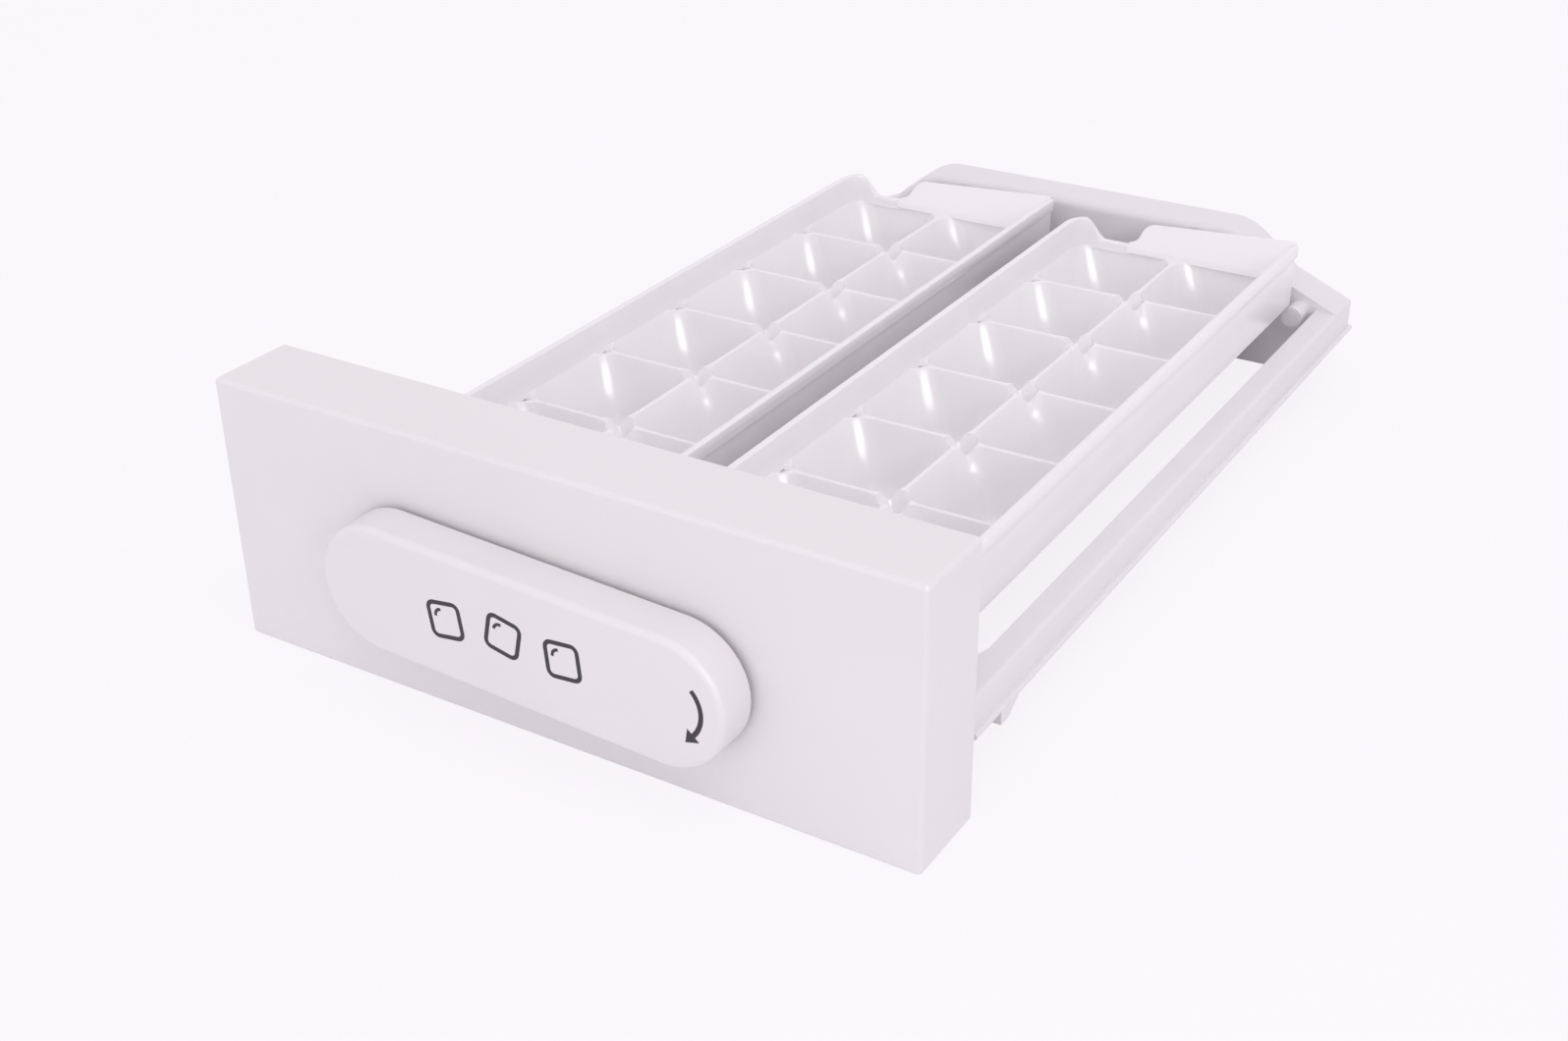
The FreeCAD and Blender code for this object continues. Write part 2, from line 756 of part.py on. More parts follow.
def make_right_tray():
    """One ice tray with its cells, skirt, front journal and rear journal."""
    tray = sink_cells(tray_shell())
    tray = fuse_all(tray, tray_front_axle() + tray_rear_axle())
    thread = rod(
        screw_shank_radius + screw_hole_clearance, tray_axis_x, axis_z,
        gear_front_y - cut_over, gear_front_y + screw_length,
    )
    return tray.cut(thread)


def make_screw(x, z, head_y, way):
    """Pan head screw. Its head's seat is at head_y and its shank runs the way given along Y."""
    outer_y = head_y - way * screw_head_height
    head = rod(screw_head_radius, x, z, *sorted((head_y, outer_y)))
    head = round_edges(
        head, screw_head_round,
        lambda e: abs(e.BoundBox.YMax - outer_y) < 0.01 and abs(e.BoundBox.YMin - outer_y) < 0.01,
    )
    shank = rod(screw_shank_radius, x, z, *sorted((head_y - way * root, head_y + way * screw_length)))
    slot_y0, slot_y1 = sorted((outer_y - way * cut_over, outer_y + way * screw_slot_depth))
    half = screw_slot_width / 2.0
    reach = screw_slot_reach
    across = box(x - reach, slot_y0, z - half, x + reach, slot_y1, z + half)
    upright = box(x - half, slot_y0, z - reach, x + half, slot_y1, z + reach)
    return head.fuse(shank).cut(across.fuse(upright))


def make_washer(x, z, y0):
    """Flat washer under a screw head."""
    bore = screw_shank_radius + washer_bore_clearance
    return tube(screw_head_radius + washer_margin, bore, x, z, y0, y0 + washer_thickness)


def make_bush(bore_radius, x, z, wall_front_y, wall_back_y, flange_way):
    """Flanged bearing bush pressed into a wall."""
    outer = bore_radius + bush_wall
    sleeve = tube(outer, bore_radius, x, z, wall_front_y, wall_back_y)
    wide = outer + bush_flange_width
    if flange_way > 0:
        flange = tube(wide, bore_radius, x, z, wall_back_y, wall_back_y + bush_flange)
    else:
        flange = tube(wide, bore_radius, x, z, wall_front_y - bush_flange, wall_front_y)
    return sleeve.fuse(flange).removeSplitter()


def make_lever_bush():
    """Thin flanged ring that carries the lever's spindle in the front cover."""
    bore = spindle_radius + running_fit
    sleeve = tube(spindle_radius + bush_wall, bore, 0.0, axis_z, cover_front_y, cover_inner_y)
    flange = tube(
        spindle_radius + bush_wall + bush_flange_width, bore, 0.0, axis_z,
        cover_front_y - lever_flange_thickness, cover_front_y,
    )
    return sleeve.fuse(flange).removeSplitter()


def cover_screw_places():
    """Four corners where screws hold the cover to the bulkhead."""
    half = cover_width / 2.0 - cover_screw_inset
    return [(x, z) for x in (-half, half) for z in (cover_screw_inset, cover_height - cover_screw_inset)]


def make_front_cover():
    """Box cover, open at the back, with a hole for the lever's bush and four screw bosses."""
    half = cover_width / 2.0
    cover = box(-half, cover_front_y, 0.0, half, cover_back_y, cover_height)
    cover = round_edges(
        cover, cover_edge_radius,
        lambda e: abs(e.BoundBox.YMax - cover_front_y) < 0.01 or runs_along(e, Vector(0, 1, 0)),
    )
    hollow = box(
        -half + cover_wall, cover_inner_y, cover_wall,
        half - cover_wall, cover_back_y + cut_over, cover_height - cover_wall,
    )
    cover = cover.cut(hollow)
    bosses = []
    webs = []
    for x, z in cover_screw_places():
        bosses.append(rod(cover_boss_radius, x, z, cover_inner_y - root, bulkhead_front_y))
        outward = math.copysign(1.0, x)
        x0, x1 = sorted((x, outward * (half - cover_wall + root)))
        web_half = cover_web_thickness / 2.0
        webs.append(box(x0, cover_inner_y - root, z - web_half, x1, bulkhead_front_y, z + web_half))
    cover = fuse_all(cover, bosses + webs)
    hole = rod(spindle_radius + bush_wall, 0.0, axis_z, cover_front_y - cut_over, cover_inner_y + cut_over)
    cover = cover.cut(hole)
    for x, z in cover_screw_places():
        cover = cover.cut(rod(
            screw_shank_radius + screw_hole_clearance, x, z,
            bulkhead_back_y - screw_length - cut_over, bulkhead_front_y + cut_over,
        ))
    return cover


def make_lever():
    """Long turning bar: a shell with round ends, ribs, a hub and a keyed spindle."""
    half_span = lever_centre_span / 2.0

    def stadium(radius, y0, y1):
        middle = box(-half_span, y0, axis_z - radius, half_span, y1, axis_z + radius)
        ends = [rod(radius, x, axis_z, y0, y1) for x in (-half_span, half_span)]
        return fuse_all(middle, ends)

    bar = stadium(lever_end_radius, lever_front_y, lever_back_y)
    bar = round_edges(bar, lever_edge_radius, lambda e: abs(e.BoundBox.YMax - lever_front_y) < 0.01)
    hollow = stadium(lever_end_radius - lever_shell, lever_front_y + lever_shell, lever_back_y + cut_over)
    hub = rod(lever_hub_radius, 0.0, axis_z, lever_front_y, lever_back_y + cut_over)
    ribs = []
    for x in (-lever_rib_place * half_span, lever_rib_place * half_span):
        ribs.append(box(
            x - lever_rib_thickness / 2.0, lever_front_y, axis_z - lever_end_radius,
            x + lever_rib_thickness / 2.0, lever_back_y + cut_over, axis_z + lever_end_radius,
        ))
    spine = box(
        -half_span, lever_front_y, axis_z - lever_rib_thickness / 2.0,
        half_span, lever_back_y + cut_over, axis_z + lever_rib_thickness / 2.0,
    )
    hollow = hollow.cut(fuse_all(hub, ribs + [spine]))
    bar = bar.cut(hollow)
    spindle = rod(spindle_radius, 0.0, axis_z, lever_back_y - lever_key_root, cover_inner_y)
    key = two_flat_rod(spindle_key_radius, spindle_key_flat, 0.0, axis_z, cover_inner_y - root, key_end_y)
    bar = bar.fuse(spindle)
    bar.rotate(Vector(0, 0, axis_z), Vector(0, 1, 0), lever_rest_tilt)
    bar = fuse_all(bar, [key])
    thread = rod(
        screw_shank_radius + screw_hole_clearance, 0.0, axis_z,
        drive_web_back_y + washer_thickness - screw_length - cut_over, key_end_y + cut_over,
    )
    return bar.cut(thread)


def rear_profile(inset):
    """Half outline of the rear wall, from its foot up to the middle of its top."""
    foot_x = rail_outer_x - rear_foot_inset - inset
    end_x = rail_outer_x - inset
    slope = math.radians(rear_shoulder_slope)
    top = rear_wall_top_z - inset
    arc_x = rear_top_half_width - inset * math.tan(slope / 2.0)
    radius = rear_shoulder_radius - inset
    arc_steps = 8
    shoulder = []
    for i in range(arc_steps + 1):
        angle = slope * i / arc_steps
        shoulder.append((arc_x + radius * math.sin(angle), top - radius * (1.0 - math.cos(angle))))
    arc_end_x, arc_end_z = shoulder[-1]
    valley_z = rear_valley_z - inset
    valley_x = arc_end_x + (arc_end_z - valley_z) / math.tan(slope)
    end_z = rear_end_z - inset
    points = [(foot_x, 0.0), (foot_x, rail_bottom_z + inset), (end_x, rail_bottom_z + inset), (end_x, end_z)]
    points.append((valley_x, valley_z))
    return points + shoulder[::-1]


def rear_outline(inset, base_z):
    """Whole outline of the rear wall in X and Z."""
    right = rear_profile(inset)
    right[0] = (right[0][0], base_z)
    left = [(-x, z) for x, z in reversed(right)]
    return right + left


def peg_place():
    """Stop peg for the right tray, relative to its axis, where the turned tray's rear edge lands."""
    reach = tray_sweep + peg_radius - peg_reach
    edge_distance = axis_z - tray_skirt_bottom_z + peg_radius + peg_landing_gap
    angle = tray_turn - 90.0 - math.degrees(math.acos(edge_distance / reach))
    return polar(reach, angle)


def make_rail(side):
    """Side rail with a flat top, an outer skirt and a small outward lip that runs on the guides."""
    y0 = bulkhead_back_y - root
    y1 = rear_wall_back_y
    top = box(rail_inner_x, y0, rail_top_z - rail_wall, rail_outer_x, y1, rail_top_z)
    skirt = box(rail_outer_x - rail_wall, y0, rail_bottom_z, rail_outer_x, y1, rail_top_z)
    rail = fuse_all(top, [skirt])
    rail = round_edges(
        rail, rail_corner_radius,
        lambda e: runs_along(e, Vector(0, 1, 0)) and e.BoundBox.ZMin > rail_top_z - 0.01
        and e.BoundBox.XMin > rail_outer_x - 0.01,
    )
    lip = box(
        rail_outer_x - root, rail_lip_front_y, rail_bottom_z,
        rail_outer_x + rail_lip_width, y1 - rail_lip_setback, rail_bottom_z + rail_lip_height,
    )
    lip = round_edges(
        lip, rail_lip_round,
        lambda e: runs_along(e, Vector(0, 1, 0)) and e.BoundBox.XMin > rail_outer_x + rail_lip_width - 0.01,
    )
    gusset = prism_z([
        (rail_inner_x + root, y0),
        (rail_inner_x - gusset_width, y0),
        (rail_inner_x + root, bulkhead_back_y + gusset_length),
    ], rail_top_z - rail_wall, rail_top_z)
    bump_outline = [
        (bump_front_y, rail_bottom_z + root), (bump_front_y, rail_bottom_z - bump_drop),
        (bump_front_y + bump_length * bump_flat_share, rail_bottom_z - bump_drop),
        (bump_front_y + bump_length, rail_bottom_z), (bump_front_y + bump_length, rail_bottom_z + root),
    ]
    corners = [Vector(rail_outer_x - rail_wall, y, z) for y, z in bump_outline]
    bump = Part.Face(Part.makePolygon(corners + corners[:1])).extrude(Vector(rail_wall + rail_lip_width, 0, 0))
    rail = fuse_all(rail, [lip, gusset, bump])
    return rail if side > 0 else mirrored(rail)


def make_rear_wall():
    """Raised cross wall, hollow from below, with stop pegs and holes for the rear bushes."""
    wall = prism_y(rear_outline(0.0, 0.0), rear_wall_front_y, rear_wall_back_y)
    wall = round_edges(
        wall, rear_back_lip_radius,
        lambda e: e.BoundBox.YMin > rear_wall_back_y - 0.01 and e.BoundBox.ZMin > rear_valley_z,
    )
    wall = round_edges(
        wall, rear_front_lip_radius,
        lambda e: e.BoundBox.YMax < rear_wall_front_y + 0.01 and e.BoundBox.ZMin > rear_valley_z + 0.01,
    )
    hollow = prism_y(
        rear_outline(rear_wall_skin, -cut_over),
        rear_wall_front_y + rear_wall_skin, rear_wall_back_y - rear_wall_skin,
    )
    wall = wall.cut(hollow)
    peg_x, peg_z = peg_place()
    extras = []
    for axis_x in (-tray_axis_x, tray_axis_x):
        extras.append(rod(
            peg_radius, axis_x + peg_x, axis_z + peg_z,
            rear_wall_front_y - peg_length, rear_wall_front_y + root,
        ))
    wall = fuse_all(wall, extras)
    for axis_x in (-tray_axis_x, tray_axis_x):
        wall = wall.cut(rod(
            rear_journal_radius + running_fit + bush_wall, axis_x, axis_z,
            rear_wall_front_y - cut_over, rear_wall_front_y + rear_wall_skin + cut_over,
        ))
    return wall


def make_bulkhead():
    """Front plate of the frame, which closes the cover's back and carries all three axes."""
    half = cover_width / 2.0 - cover_wall - cover_clearance
    base = cover_wall + cover_clearance
    plate = box(-half, bulkhead_front_y, base, half, bulkhead_back_y, cover_height - base)
    extras = []
    lug_swing = lug_half_angle + stop_half_angle + math.degrees(stop_gap / lug_inner_radius)
    for angle in (lug_rest_angle + lug_swing, lug_rest_angle - lever_turn - lug_swing):
        extras.append(sector(
            lug_inner_radius, lug_outer_radius, angle, stop_half_angle,
            0.0, axis_z, gear_back_y + lug_end_gap, bulkhead_front_y + root,
        ))
    u, v = bulkhead_leg_point()
    for side in (-1.0, 1.0):
        extras.append(rod(
            spring_post_radius, side * (tray_axis_x + u), axis_z + v,
            spring_end_y - spring_wire / 2.0 - spring_post_margin, bulkhead_front_y + root,
        ))
    plate = fuse_all(plate, extras)
    hole_front_y = bulkhead_front_y - cut_over
    hole_back_y = bulkhead_back_y + cut_over
    holes = [rod(drive_journal_radius + running_fit, 0.0, axis_z, hole_front_y, hole_back_y)]
    for axis_x in (-tray_axis_x, tray_axis_x):
        seat_radius = front_journal_radius + running_fit + bush_wall
        holes.append(rod(seat_radius, axis_x, axis_z, hole_front_y, hole_back_y))
    for x, z in cover_screw_places():
        holes.append(rod(screw_passage_radius, x, z, hole_front_y, hole_back_y))
    return plate.cut(holes)


def make_carrier_frame():
    """One moulding: bulkhead, two rails and the rear wall, open underneath for the ice."""
    frame = make_bulkhead()
    return fuse_all(frame, [make_rail(1), make_rail(-1), make_rear_wall()])


def save(name, shape):
    """Write one piece as its own file."""
    if not shape.isValid():
        print("not valid:", name)
    shape.exportStep("parts/%s.step" % name)
    print("%-22s solids %d  volume %.0f mm3" % (name, len(shape.Solids), shape.Volume))


def main():
    """Build and write every piece."""
    right_tray = make_right_tray()
    left_tray = right_tray.copy()
    left_tray.translate(Vector(-2.0 * tray_axis_x, 0, 0))
    save("right_tray", right_tray)
    save("left_tray", left_tray)
    save("carrier_frame", make_carrier_frame())
    save("front_cover", make_front_cover())
    save("lever", make_lever())
    save("lever_bush", make_lever_bush())
    save("drive_gear", make_drive_gear())
    lever_washer_y = drive_web_back_y
    save("lever_washer", make_washer(0.0, axis_z, lever_washer_y))
    save("lever_screw", make_screw(0.0, axis_z, lever_washer_y + washer_thickness, -1))
    for side, word in ((-1, "left"), (1, "right")):
        axis_x = side * tray_axis_x
        save(word + "_tray_gear", make_tray_gear(side))
        save(word + "_return_spring", make_return_spring(side))
        save(word + "_front_bush", make_bush(
            front_journal_radius + running_fit, axis_x, axis_z, bulkhead_front_y, bulkhead_back_y, 1,
        ))
        save(word + "_rear_bush", make_bush(
            rear_journal_radius + running_fit, axis_x, axis_z,
            rear_wall_front_y, rear_wall_front_y + rear_wall_skin, -1,
        ))
        save(word + "_gear_washer", make_washer(axis_x, axis_z, gear_front_y - washer_thickness))
        save(word + "_gear_screw", make_screw(axis_x, axis_z, gear_front_y - washer_thickness, 1))
    screws = [make_screw(x, z, bulkhead_back_y, -1) for x, z in cover_screw_places()]
    save("cover_screws", Part.makeCompound(screws))


main()
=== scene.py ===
"""Freezer twist ice maker in white plastic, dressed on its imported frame.

Metres, in the frame's own axes: +X right seen from the front, +Y from the front cover to the rear wall,
+Z up. The sections follow the object as it is put together.
"""

import json
import math

import bmesh
import bpy
from mathutils import Matrix, Vector


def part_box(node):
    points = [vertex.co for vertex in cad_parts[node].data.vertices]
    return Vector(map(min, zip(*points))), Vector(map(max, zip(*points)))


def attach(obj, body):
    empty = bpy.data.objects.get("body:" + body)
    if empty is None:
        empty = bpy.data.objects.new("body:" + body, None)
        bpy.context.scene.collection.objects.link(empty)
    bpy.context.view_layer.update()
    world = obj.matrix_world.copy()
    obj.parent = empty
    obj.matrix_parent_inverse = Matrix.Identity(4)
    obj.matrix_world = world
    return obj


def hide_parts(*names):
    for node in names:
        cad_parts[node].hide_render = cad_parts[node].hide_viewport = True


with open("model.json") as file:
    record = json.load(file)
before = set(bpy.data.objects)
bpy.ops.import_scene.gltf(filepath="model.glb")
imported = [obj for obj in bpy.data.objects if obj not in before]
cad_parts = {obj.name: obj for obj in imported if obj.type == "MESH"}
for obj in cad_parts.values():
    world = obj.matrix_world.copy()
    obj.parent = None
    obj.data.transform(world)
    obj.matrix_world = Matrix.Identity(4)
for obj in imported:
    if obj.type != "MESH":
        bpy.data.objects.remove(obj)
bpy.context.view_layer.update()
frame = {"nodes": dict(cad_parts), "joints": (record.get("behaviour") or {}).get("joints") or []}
nodes = frame["nodes"]

# Camera
# The photograph looks down on the front cover from its right, a little over half a metre away,
# through a lens slightly longer than normal.
photo_width_px = 1596
photo_focal_px = 2052.5
sensor_width_mm = 36.0
camera_place = Vector((0.2594, -0.3243, 0.2816))
camera_azimuth = math.radians(31.8)
camera_elevation = math.radians(28.76)
camera_roll = math.radians(-0.6)

camera_data = bpy.data.cameras.new("photo_camera")
camera_data.sensor_width = sensor_width_mm
camera_data.lens = photo_focal_px / photo_width_px * sensor_width_mm
camera_data.clip_start = 0.01
camera = bpy.data.objects.new("photo_camera", camera_data)
bpy.context.scene.collection.objects.link(camera)
camera.matrix_world = (
    Matrix.Translation(camera_place)
    @ Matrix.Rotation(camera_azimuth, 4, "Z")
    @ Matrix.Rotation(math.pi / 2.0 - camera_elevation, 4, "X")
    @ Matrix.Rotation(camera_roll, 4, "Z")
)
bpy.context.scene.camera = camera
bpy.context.scene.view_settings.view_transform = "Standard"


# Light and ground
# A studio with soft boxes above and before the front, a small lamp low at the right and an even pale
# surround. The object stands on a sheet of white paper, which keeps its soft shadow.
def linear(hex_colour):
    """Linear red, green, blue and alpha of an sRGB hex colour."""
    parts = [int(hex_colour[i:i + 2], 16) / 255.0 for i in (1, 3, 5)]
    return [c / 12.92 if c <= 0.04045 else ((c + 0.055) / 1.055) ** 2.4 for c in parts] + [1.0]


def add_node(tree, kind, settings=None, **links):
    """Add one node. Settings fill its properties and inputs, and links feed its inputs from other sockets."""
    node = tree.nodes.new(kind)
    for name, value in (settings or {}).items():
        if hasattr(node, name):
            setattr(node, name, value)
        else:
            node.inputs[name].default_value = value
    for name, socket in links.items():
        tree.links.new(socket, node.inputs[name.replace("_", " ")])
    return node


def seen_directly(tree):
    """1 for rays from the camera, from a mirror and through glass, and 0 for the rays that carry light."""
    rays = add_node(tree, "ShaderNodeLightPath")
    total = rays.outputs["Is Camera Ray"]
    for name in ("Is Glossy Ray", "Is Transmission Ray"):
        larger = add_node(tree, "ShaderNodeMath", {"operation": "MAXIMUM"})
        tree.links.new(total, larger.inputs[0])
        tree.links.new(rays.outputs[name], larger.inputs[1])
        total = larger.outputs[0]
    return total


surround_hex = "#FDFAFE"
fill_hex = "#F8F7F9"
fill_strength = 0.84
world = bpy.data.worlds.new("pale_studio")
bpy.context.scene.world = world
world.use_nodes = True
tree = world.node_tree
tree.nodes.clear()
fill = add_node(tree, "ShaderNodeBackground", {"Color": linear(fill_hex), "Strength": fill_strength})
shown = add_node(tree, "ShaderNodeBackground", {"Color": linear(surround_hex), "Strength": 1.0})
choice = add_node(tree, "ShaderNodeMixShader")
tree.links.new(seen_directly(tree), choice.inputs[0])
tree.links.new(fill.outputs[0], choice.inputs[1])
tree.links.new(shown.outputs[0], choice.inputs[2])
add_node(tree, "ShaderNodeOutputWorld", Surface=choice.outputs[0])

middle_of_object = Vector((0.0, 0.14, 0.03))


def soft_box(name, place, width, height, watts):
    """Rectangular area lamp that points from its place to the middle of the object."""
    lamp = bpy.data.lights.new(name, "AREA")
    lamp.shape = "RECTANGLE"
    lamp.size = width
    lamp.size_y = height
    lamp.energy = watts
    lamp_object = bpy.data.objects.new(name, lamp)
    bpy.context.scene.collection.objects.link(lamp_object)
    direction = (middle_of_object - Vector(place)).normalized()
    facing = direction.to_track_quat("-Z", "Y").to_matrix().to_4x4()
    lamp_object.matrix_world = Matrix.Translation(place) @ facing
    return lamp_object


soft_box("key_light", (0.40, -0.60, 1.00), width=0.5, height=0.5, watts=0.9)
soft_box("low_light", (0.95, -0.62, 0.56), width=0.3, height=0.3, watts=1.1)
# The wide box is mirrored in the corners of the cells, and adds nothing to what is matt
mirrored_box = soft_box("mirrored_light", (0.97, -0.64, 0.57), width=0.75, height=0.32, watts=6.0)
mirrored_box.visible_diffuse = False
soft_box("top_light", (0.50, 0.00, 1.20), width=0.5, height=0.5, watts=1.6)
soft_box("front_light", (-0.20, -1.30, 0.28), width=1.0, height=0.4, watts=1.4)

floor_half = 3.0
floor_corners = [(x * floor_half, y * floor_half, 0.0) for x, y in ((-1, -1), (1, -1), (1, 1), (-1, 1))]
floor_mesh = bpy.data.meshes.new("floor")
floor_mesh.from_pydata(floor_corners, [], [(0, 1, 2, 3)])
floor = bpy.data.objects.new("floor", floor_mesh)
bpy.context.scene.collection.objects.link(floor)

# White paper takes the shadow, and glows enough to run into the surround with no edge
paper_hex = "#F6F3F7"
paper_glow_share = 0.88
floor_material = bpy.data.materials.new("white_paper")
floor_material.use_nodes = True
tree = floor_material.node_tree
tree.nodes.clear()
paper = add_node(tree, "ShaderNodeBsdfDiffuse", {"Color": linear(paper_hex)})
glow = add_node(tree, "ShaderNodeEmission", {"Color": linear(surround_hex), "Strength": 1.0})
share = add_node(tree, "ShaderNodeMath", {"operation": "MULTIPLY"})
tree.links.new(seen_directly(tree), share.inputs[0])
share.inputs[1].default_value = paper_glow_share
cover_up = add_node(tree, "ShaderNodeMixShader")
tree.links.new(share.outputs[0], cover_up.inputs[0])
tree.links.new(paper.outputs[0], cover_up.inputs[1])
tree.links.new(glow.outputs[0], cover_up.inputs[2])
add_node(tree, "ShaderNodeOutputMaterial", Surface=cover_up.outputs[0])
floor_mesh.materials.append(floor_material)


# Carrier frame
# One injection moulding in white polypropylene copolymer: front bulkhead, two rails and the rear wall.
# The mould was left finely textured, so it shines softly.
noise_low, noise_high = 0.3, 0.7
flow_tint = 0.975
flow_dull, flow_shiny = 0.92, 1.08


def moulded_plastic(name, hex_colour, roughness, ior, grain_mm, grain_height_mm, flow_mm):
    """Opaque injection-moulded plastic with the fine skin of its mould and faint cloudy flow marks."""
    material = bpy.data.materials.new(name)
    material.use_nodes = True
    tree = material.node_tree
    tree.nodes.clear()
    place = add_node(tree, "ShaderNodeTexCoord")
    skin = add_node(
        tree, "ShaderNodeTexNoise",
        {"Scale": 1000.0 / grain_mm, "Detail": 3.0, "Roughness": 0.6}, Vector=place.outputs["Object"],
    )
    flow = add_node(
        tree, "ShaderNodeTexNoise",
        {"Scale": 1000.0 / flow_mm, "Detail": 2.0, "Distortion": 0.8}, Vector=place.outputs["Object"],
    )
    shade = add_node(tree, "ShaderNodeValToRGB", Fac=flow.outputs["Fac"])
    pale = linear(hex_colour)
    shade.color_ramp.elements[0].position = noise_low
    shade.color_ramp.elements[0].color = [c * flow_tint for c in pale[:3]] + [1.0]
    shade.color_ramp.elements[1].position = noise_high
    shade.color_ramp.elements[1].color = pale
    gloss_range = {
        "From Min": noise_low, "From Max": noise_high,
        "To Min": roughness * flow_dull, "To Max": roughness * flow_shiny,
    }
    gloss = add_node(tree, "ShaderNodeMapRange", gloss_range, Value=flow.outputs["Fac"])
    bump = add_node(
        tree, "ShaderNodeBump", {"Strength": 1.0, "Distance": grain_height_mm / 1000.0},
        Height=skin.outputs["Fac"],
    )
    plastic = add_node(
        tree, "ShaderNodeBsdfPrincipled", {"IOR": ior},
        Base_Color=shade.outputs["Color"], Roughness=gloss.outputs["Result"], Normal=bump.outputs["Normal"],
    )
    add_node(tree, "ShaderNodeOutputMaterial", Surface=plastic.outputs[0])
    return material


def dress(node_name, material):
    """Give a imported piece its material."""
    mesh = nodes[node_name].data
    mesh.materials.clear()
    mesh.materials.append(material)


# Textured copolymer is a slightly cool white with broad soft highlights. Its grain is drawn about twice as
# coarse as the real one, so that it still breaks the highlight at this distance.
frame_plastic = moulded_plastic(
    "textured_copolymer", "#EAE6EA", roughness=0.40, ior=1.49,
    grain_mm=0.45, grain_height_mm=0.0015, flow_mm=60.0,
)
dress("carrier_frame", frame_plastic)

# Bearing bushes
# Four flanged rings pressed into the frame for the trays, and one in the cover for the lever.
# They are turned grey acetal, smooth and slightly waxy.

# Grey acetal is a shade darker than the white mouldings, so each ring reads as a separate piece.
bush_plastic = moulded_plastic(
    "grey_acetal", "#C9C8CC", roughness=0.34, ior=1.48, grain_mm=0.30, grain_height_mm=0.002, flow_mm=25.0,
)
for node_name in ("left_front_bush", "right_front_bush", "left_rear_bush", "right_rear_bush", "lever_bush"):
    dress(node_name, bush_plastic)

# Ice trays
# Two equal mouldings in flexible natural-white polypropylene, with twelve cells, a beaded rim and a skirt.
# The cores were polished so that ice lets go, and so the walls shine in their corners. The right tray is
# built here in millimetres, and its mesh moved over makes the left one.

# Polished polypropylene gives the eye the bright streaks in the cells' corners. The weak ripple in it is
# coarser than the real polishing marks.
tray_plastic = moulded_plastic(
    "polished_polypropylene", "#F4F1F4", roughness=0.22, ior=1.49,
    grain_mm=0.8, grain_height_mm=0.0015, flow_mm=45.0,
)
mm = 0.001
tray_axis = next(joint["pos_m"] for joint in frame["joints"] if joint["name"] == "right_tray_turn")
tray_axis_x = tray_axis[0] / mm
axis_z = tray_axis[2] / mm
tray_half = 37.0
tray_left = tray_axis_x - tray_half
tray_front = 37.5
pool_rear = 270.6
overflow_rear = 272.5
tray_rear = 281.6
rim_z = 46.5
deck_z = 37.7
skirt_bottom_z = 25.3
rim_thickness = 2.2
cell_columns = 2
cell_rows = 6
cell_depth = 22.5
cell_corner = 7.0
crest = 1.2
row_pitch = 38.5
play_beside_cells = 0.8
play_before_cells = 0.7
cell_half_y = (row_pitch - crest) / 2.0
cell_half_x = (2.0 * tray_half - 2.0 * rim_thickness - play_beside_cells - crest) / 4.0
column_pitch = 2.0 * cell_half_x + crest
first_cell_y = tray_front + rim_thickness + play_before_cells + cell_half_y
side_draft = 7.5
end_draft = 4.0
crest_round = 0.7
floor_round = 7.4
corner_growth = 0.2
widest_corner = 9.2
corner_steps = 16
side_steps = 5
flat_steps = 5
crest_steps = 4
wall_steps = 5
foot_steps = 8


def wall_profile(draft):
    """Inset and depth down a cell's wall: rounded crest, straight wall and rounded foot."""
    slope = math.atan2(cell_depth, draft)
    top = crest_round * math.tan(slope / 2.0)
    foot = floor_round * math.tan(slope / 2.0)
    along = Vector((math.cos(slope), math.sin(slope)))
    points = []
    for i in range(crest_steps + 1):
        turn = slope * i / crest_steps
        points.append(Vector((-top + crest_round * math.sin(turn), crest_round * (1.0 - math.cos(turn)))))
    wall_end = Vector((draft, cell_depth)) - along * foot
    points += [points[-1].lerp(wall_end, i / wall_steps) for i in range(1, wall_steps)]
    for i in range(foot_steps + 1):
        left = slope * (1.0 - i / foot_steps)
        inset = draft + foot - floor_round * math.sin(left)
        points.append(Vector((inset, cell_depth - floor_round * (1.0 - math.cos(left)))))
    return points


def cell_ring(half_x, half_y, radius, square=0.0):
    """Points round a cell from its centre, each with its wall's angle. Square pushes the corners out."""
    signs = ((1, 1), (-1, 1), (-1, -1), (1, -1))
    ring = []
    for quarter, (sign_x, sign_y) in enumerate(signs):
        mirrored = quarter % 2 == 1
        for i in range(corner_steps):
            angle = math.radians(90.0 * i / corner_steps)
            to_square = 1.0 / max(math.cos(angle), math.sin(angle)) - 1.0
            reach = radius + (radius * to_square) * square
            u, v = reach * math.cos(angle), reach * math.sin(angle)
            if mirrored:
                u, v, angle = v, u, math.pi / 2.0 - angle
            ring.append((sign_x * (half_x - radius + u), sign_y * (half_y - radius + v), angle))
        next_x, next_y = signs[(quarter + 1) % 4]
        if mirrored:
            start = Vector((sign_x * half_x, sign_y * (half_y - radius)))
            end = Vector((sign_x * half_x, next_y * (half_y - radius)))
        else:
            start = Vector((sign_x * (half_x - radius), sign_y * half_y))
            end = Vector((next_x * (half_x - radius), sign_y * half_y))
        side_angle = 0.0 if mirrored else math.pi / 2.0
        for i in range(side_steps):
            point = start.lerp(end, i / side_steps)
            ring.append((point.x, point.y, side_angle))
    return ring


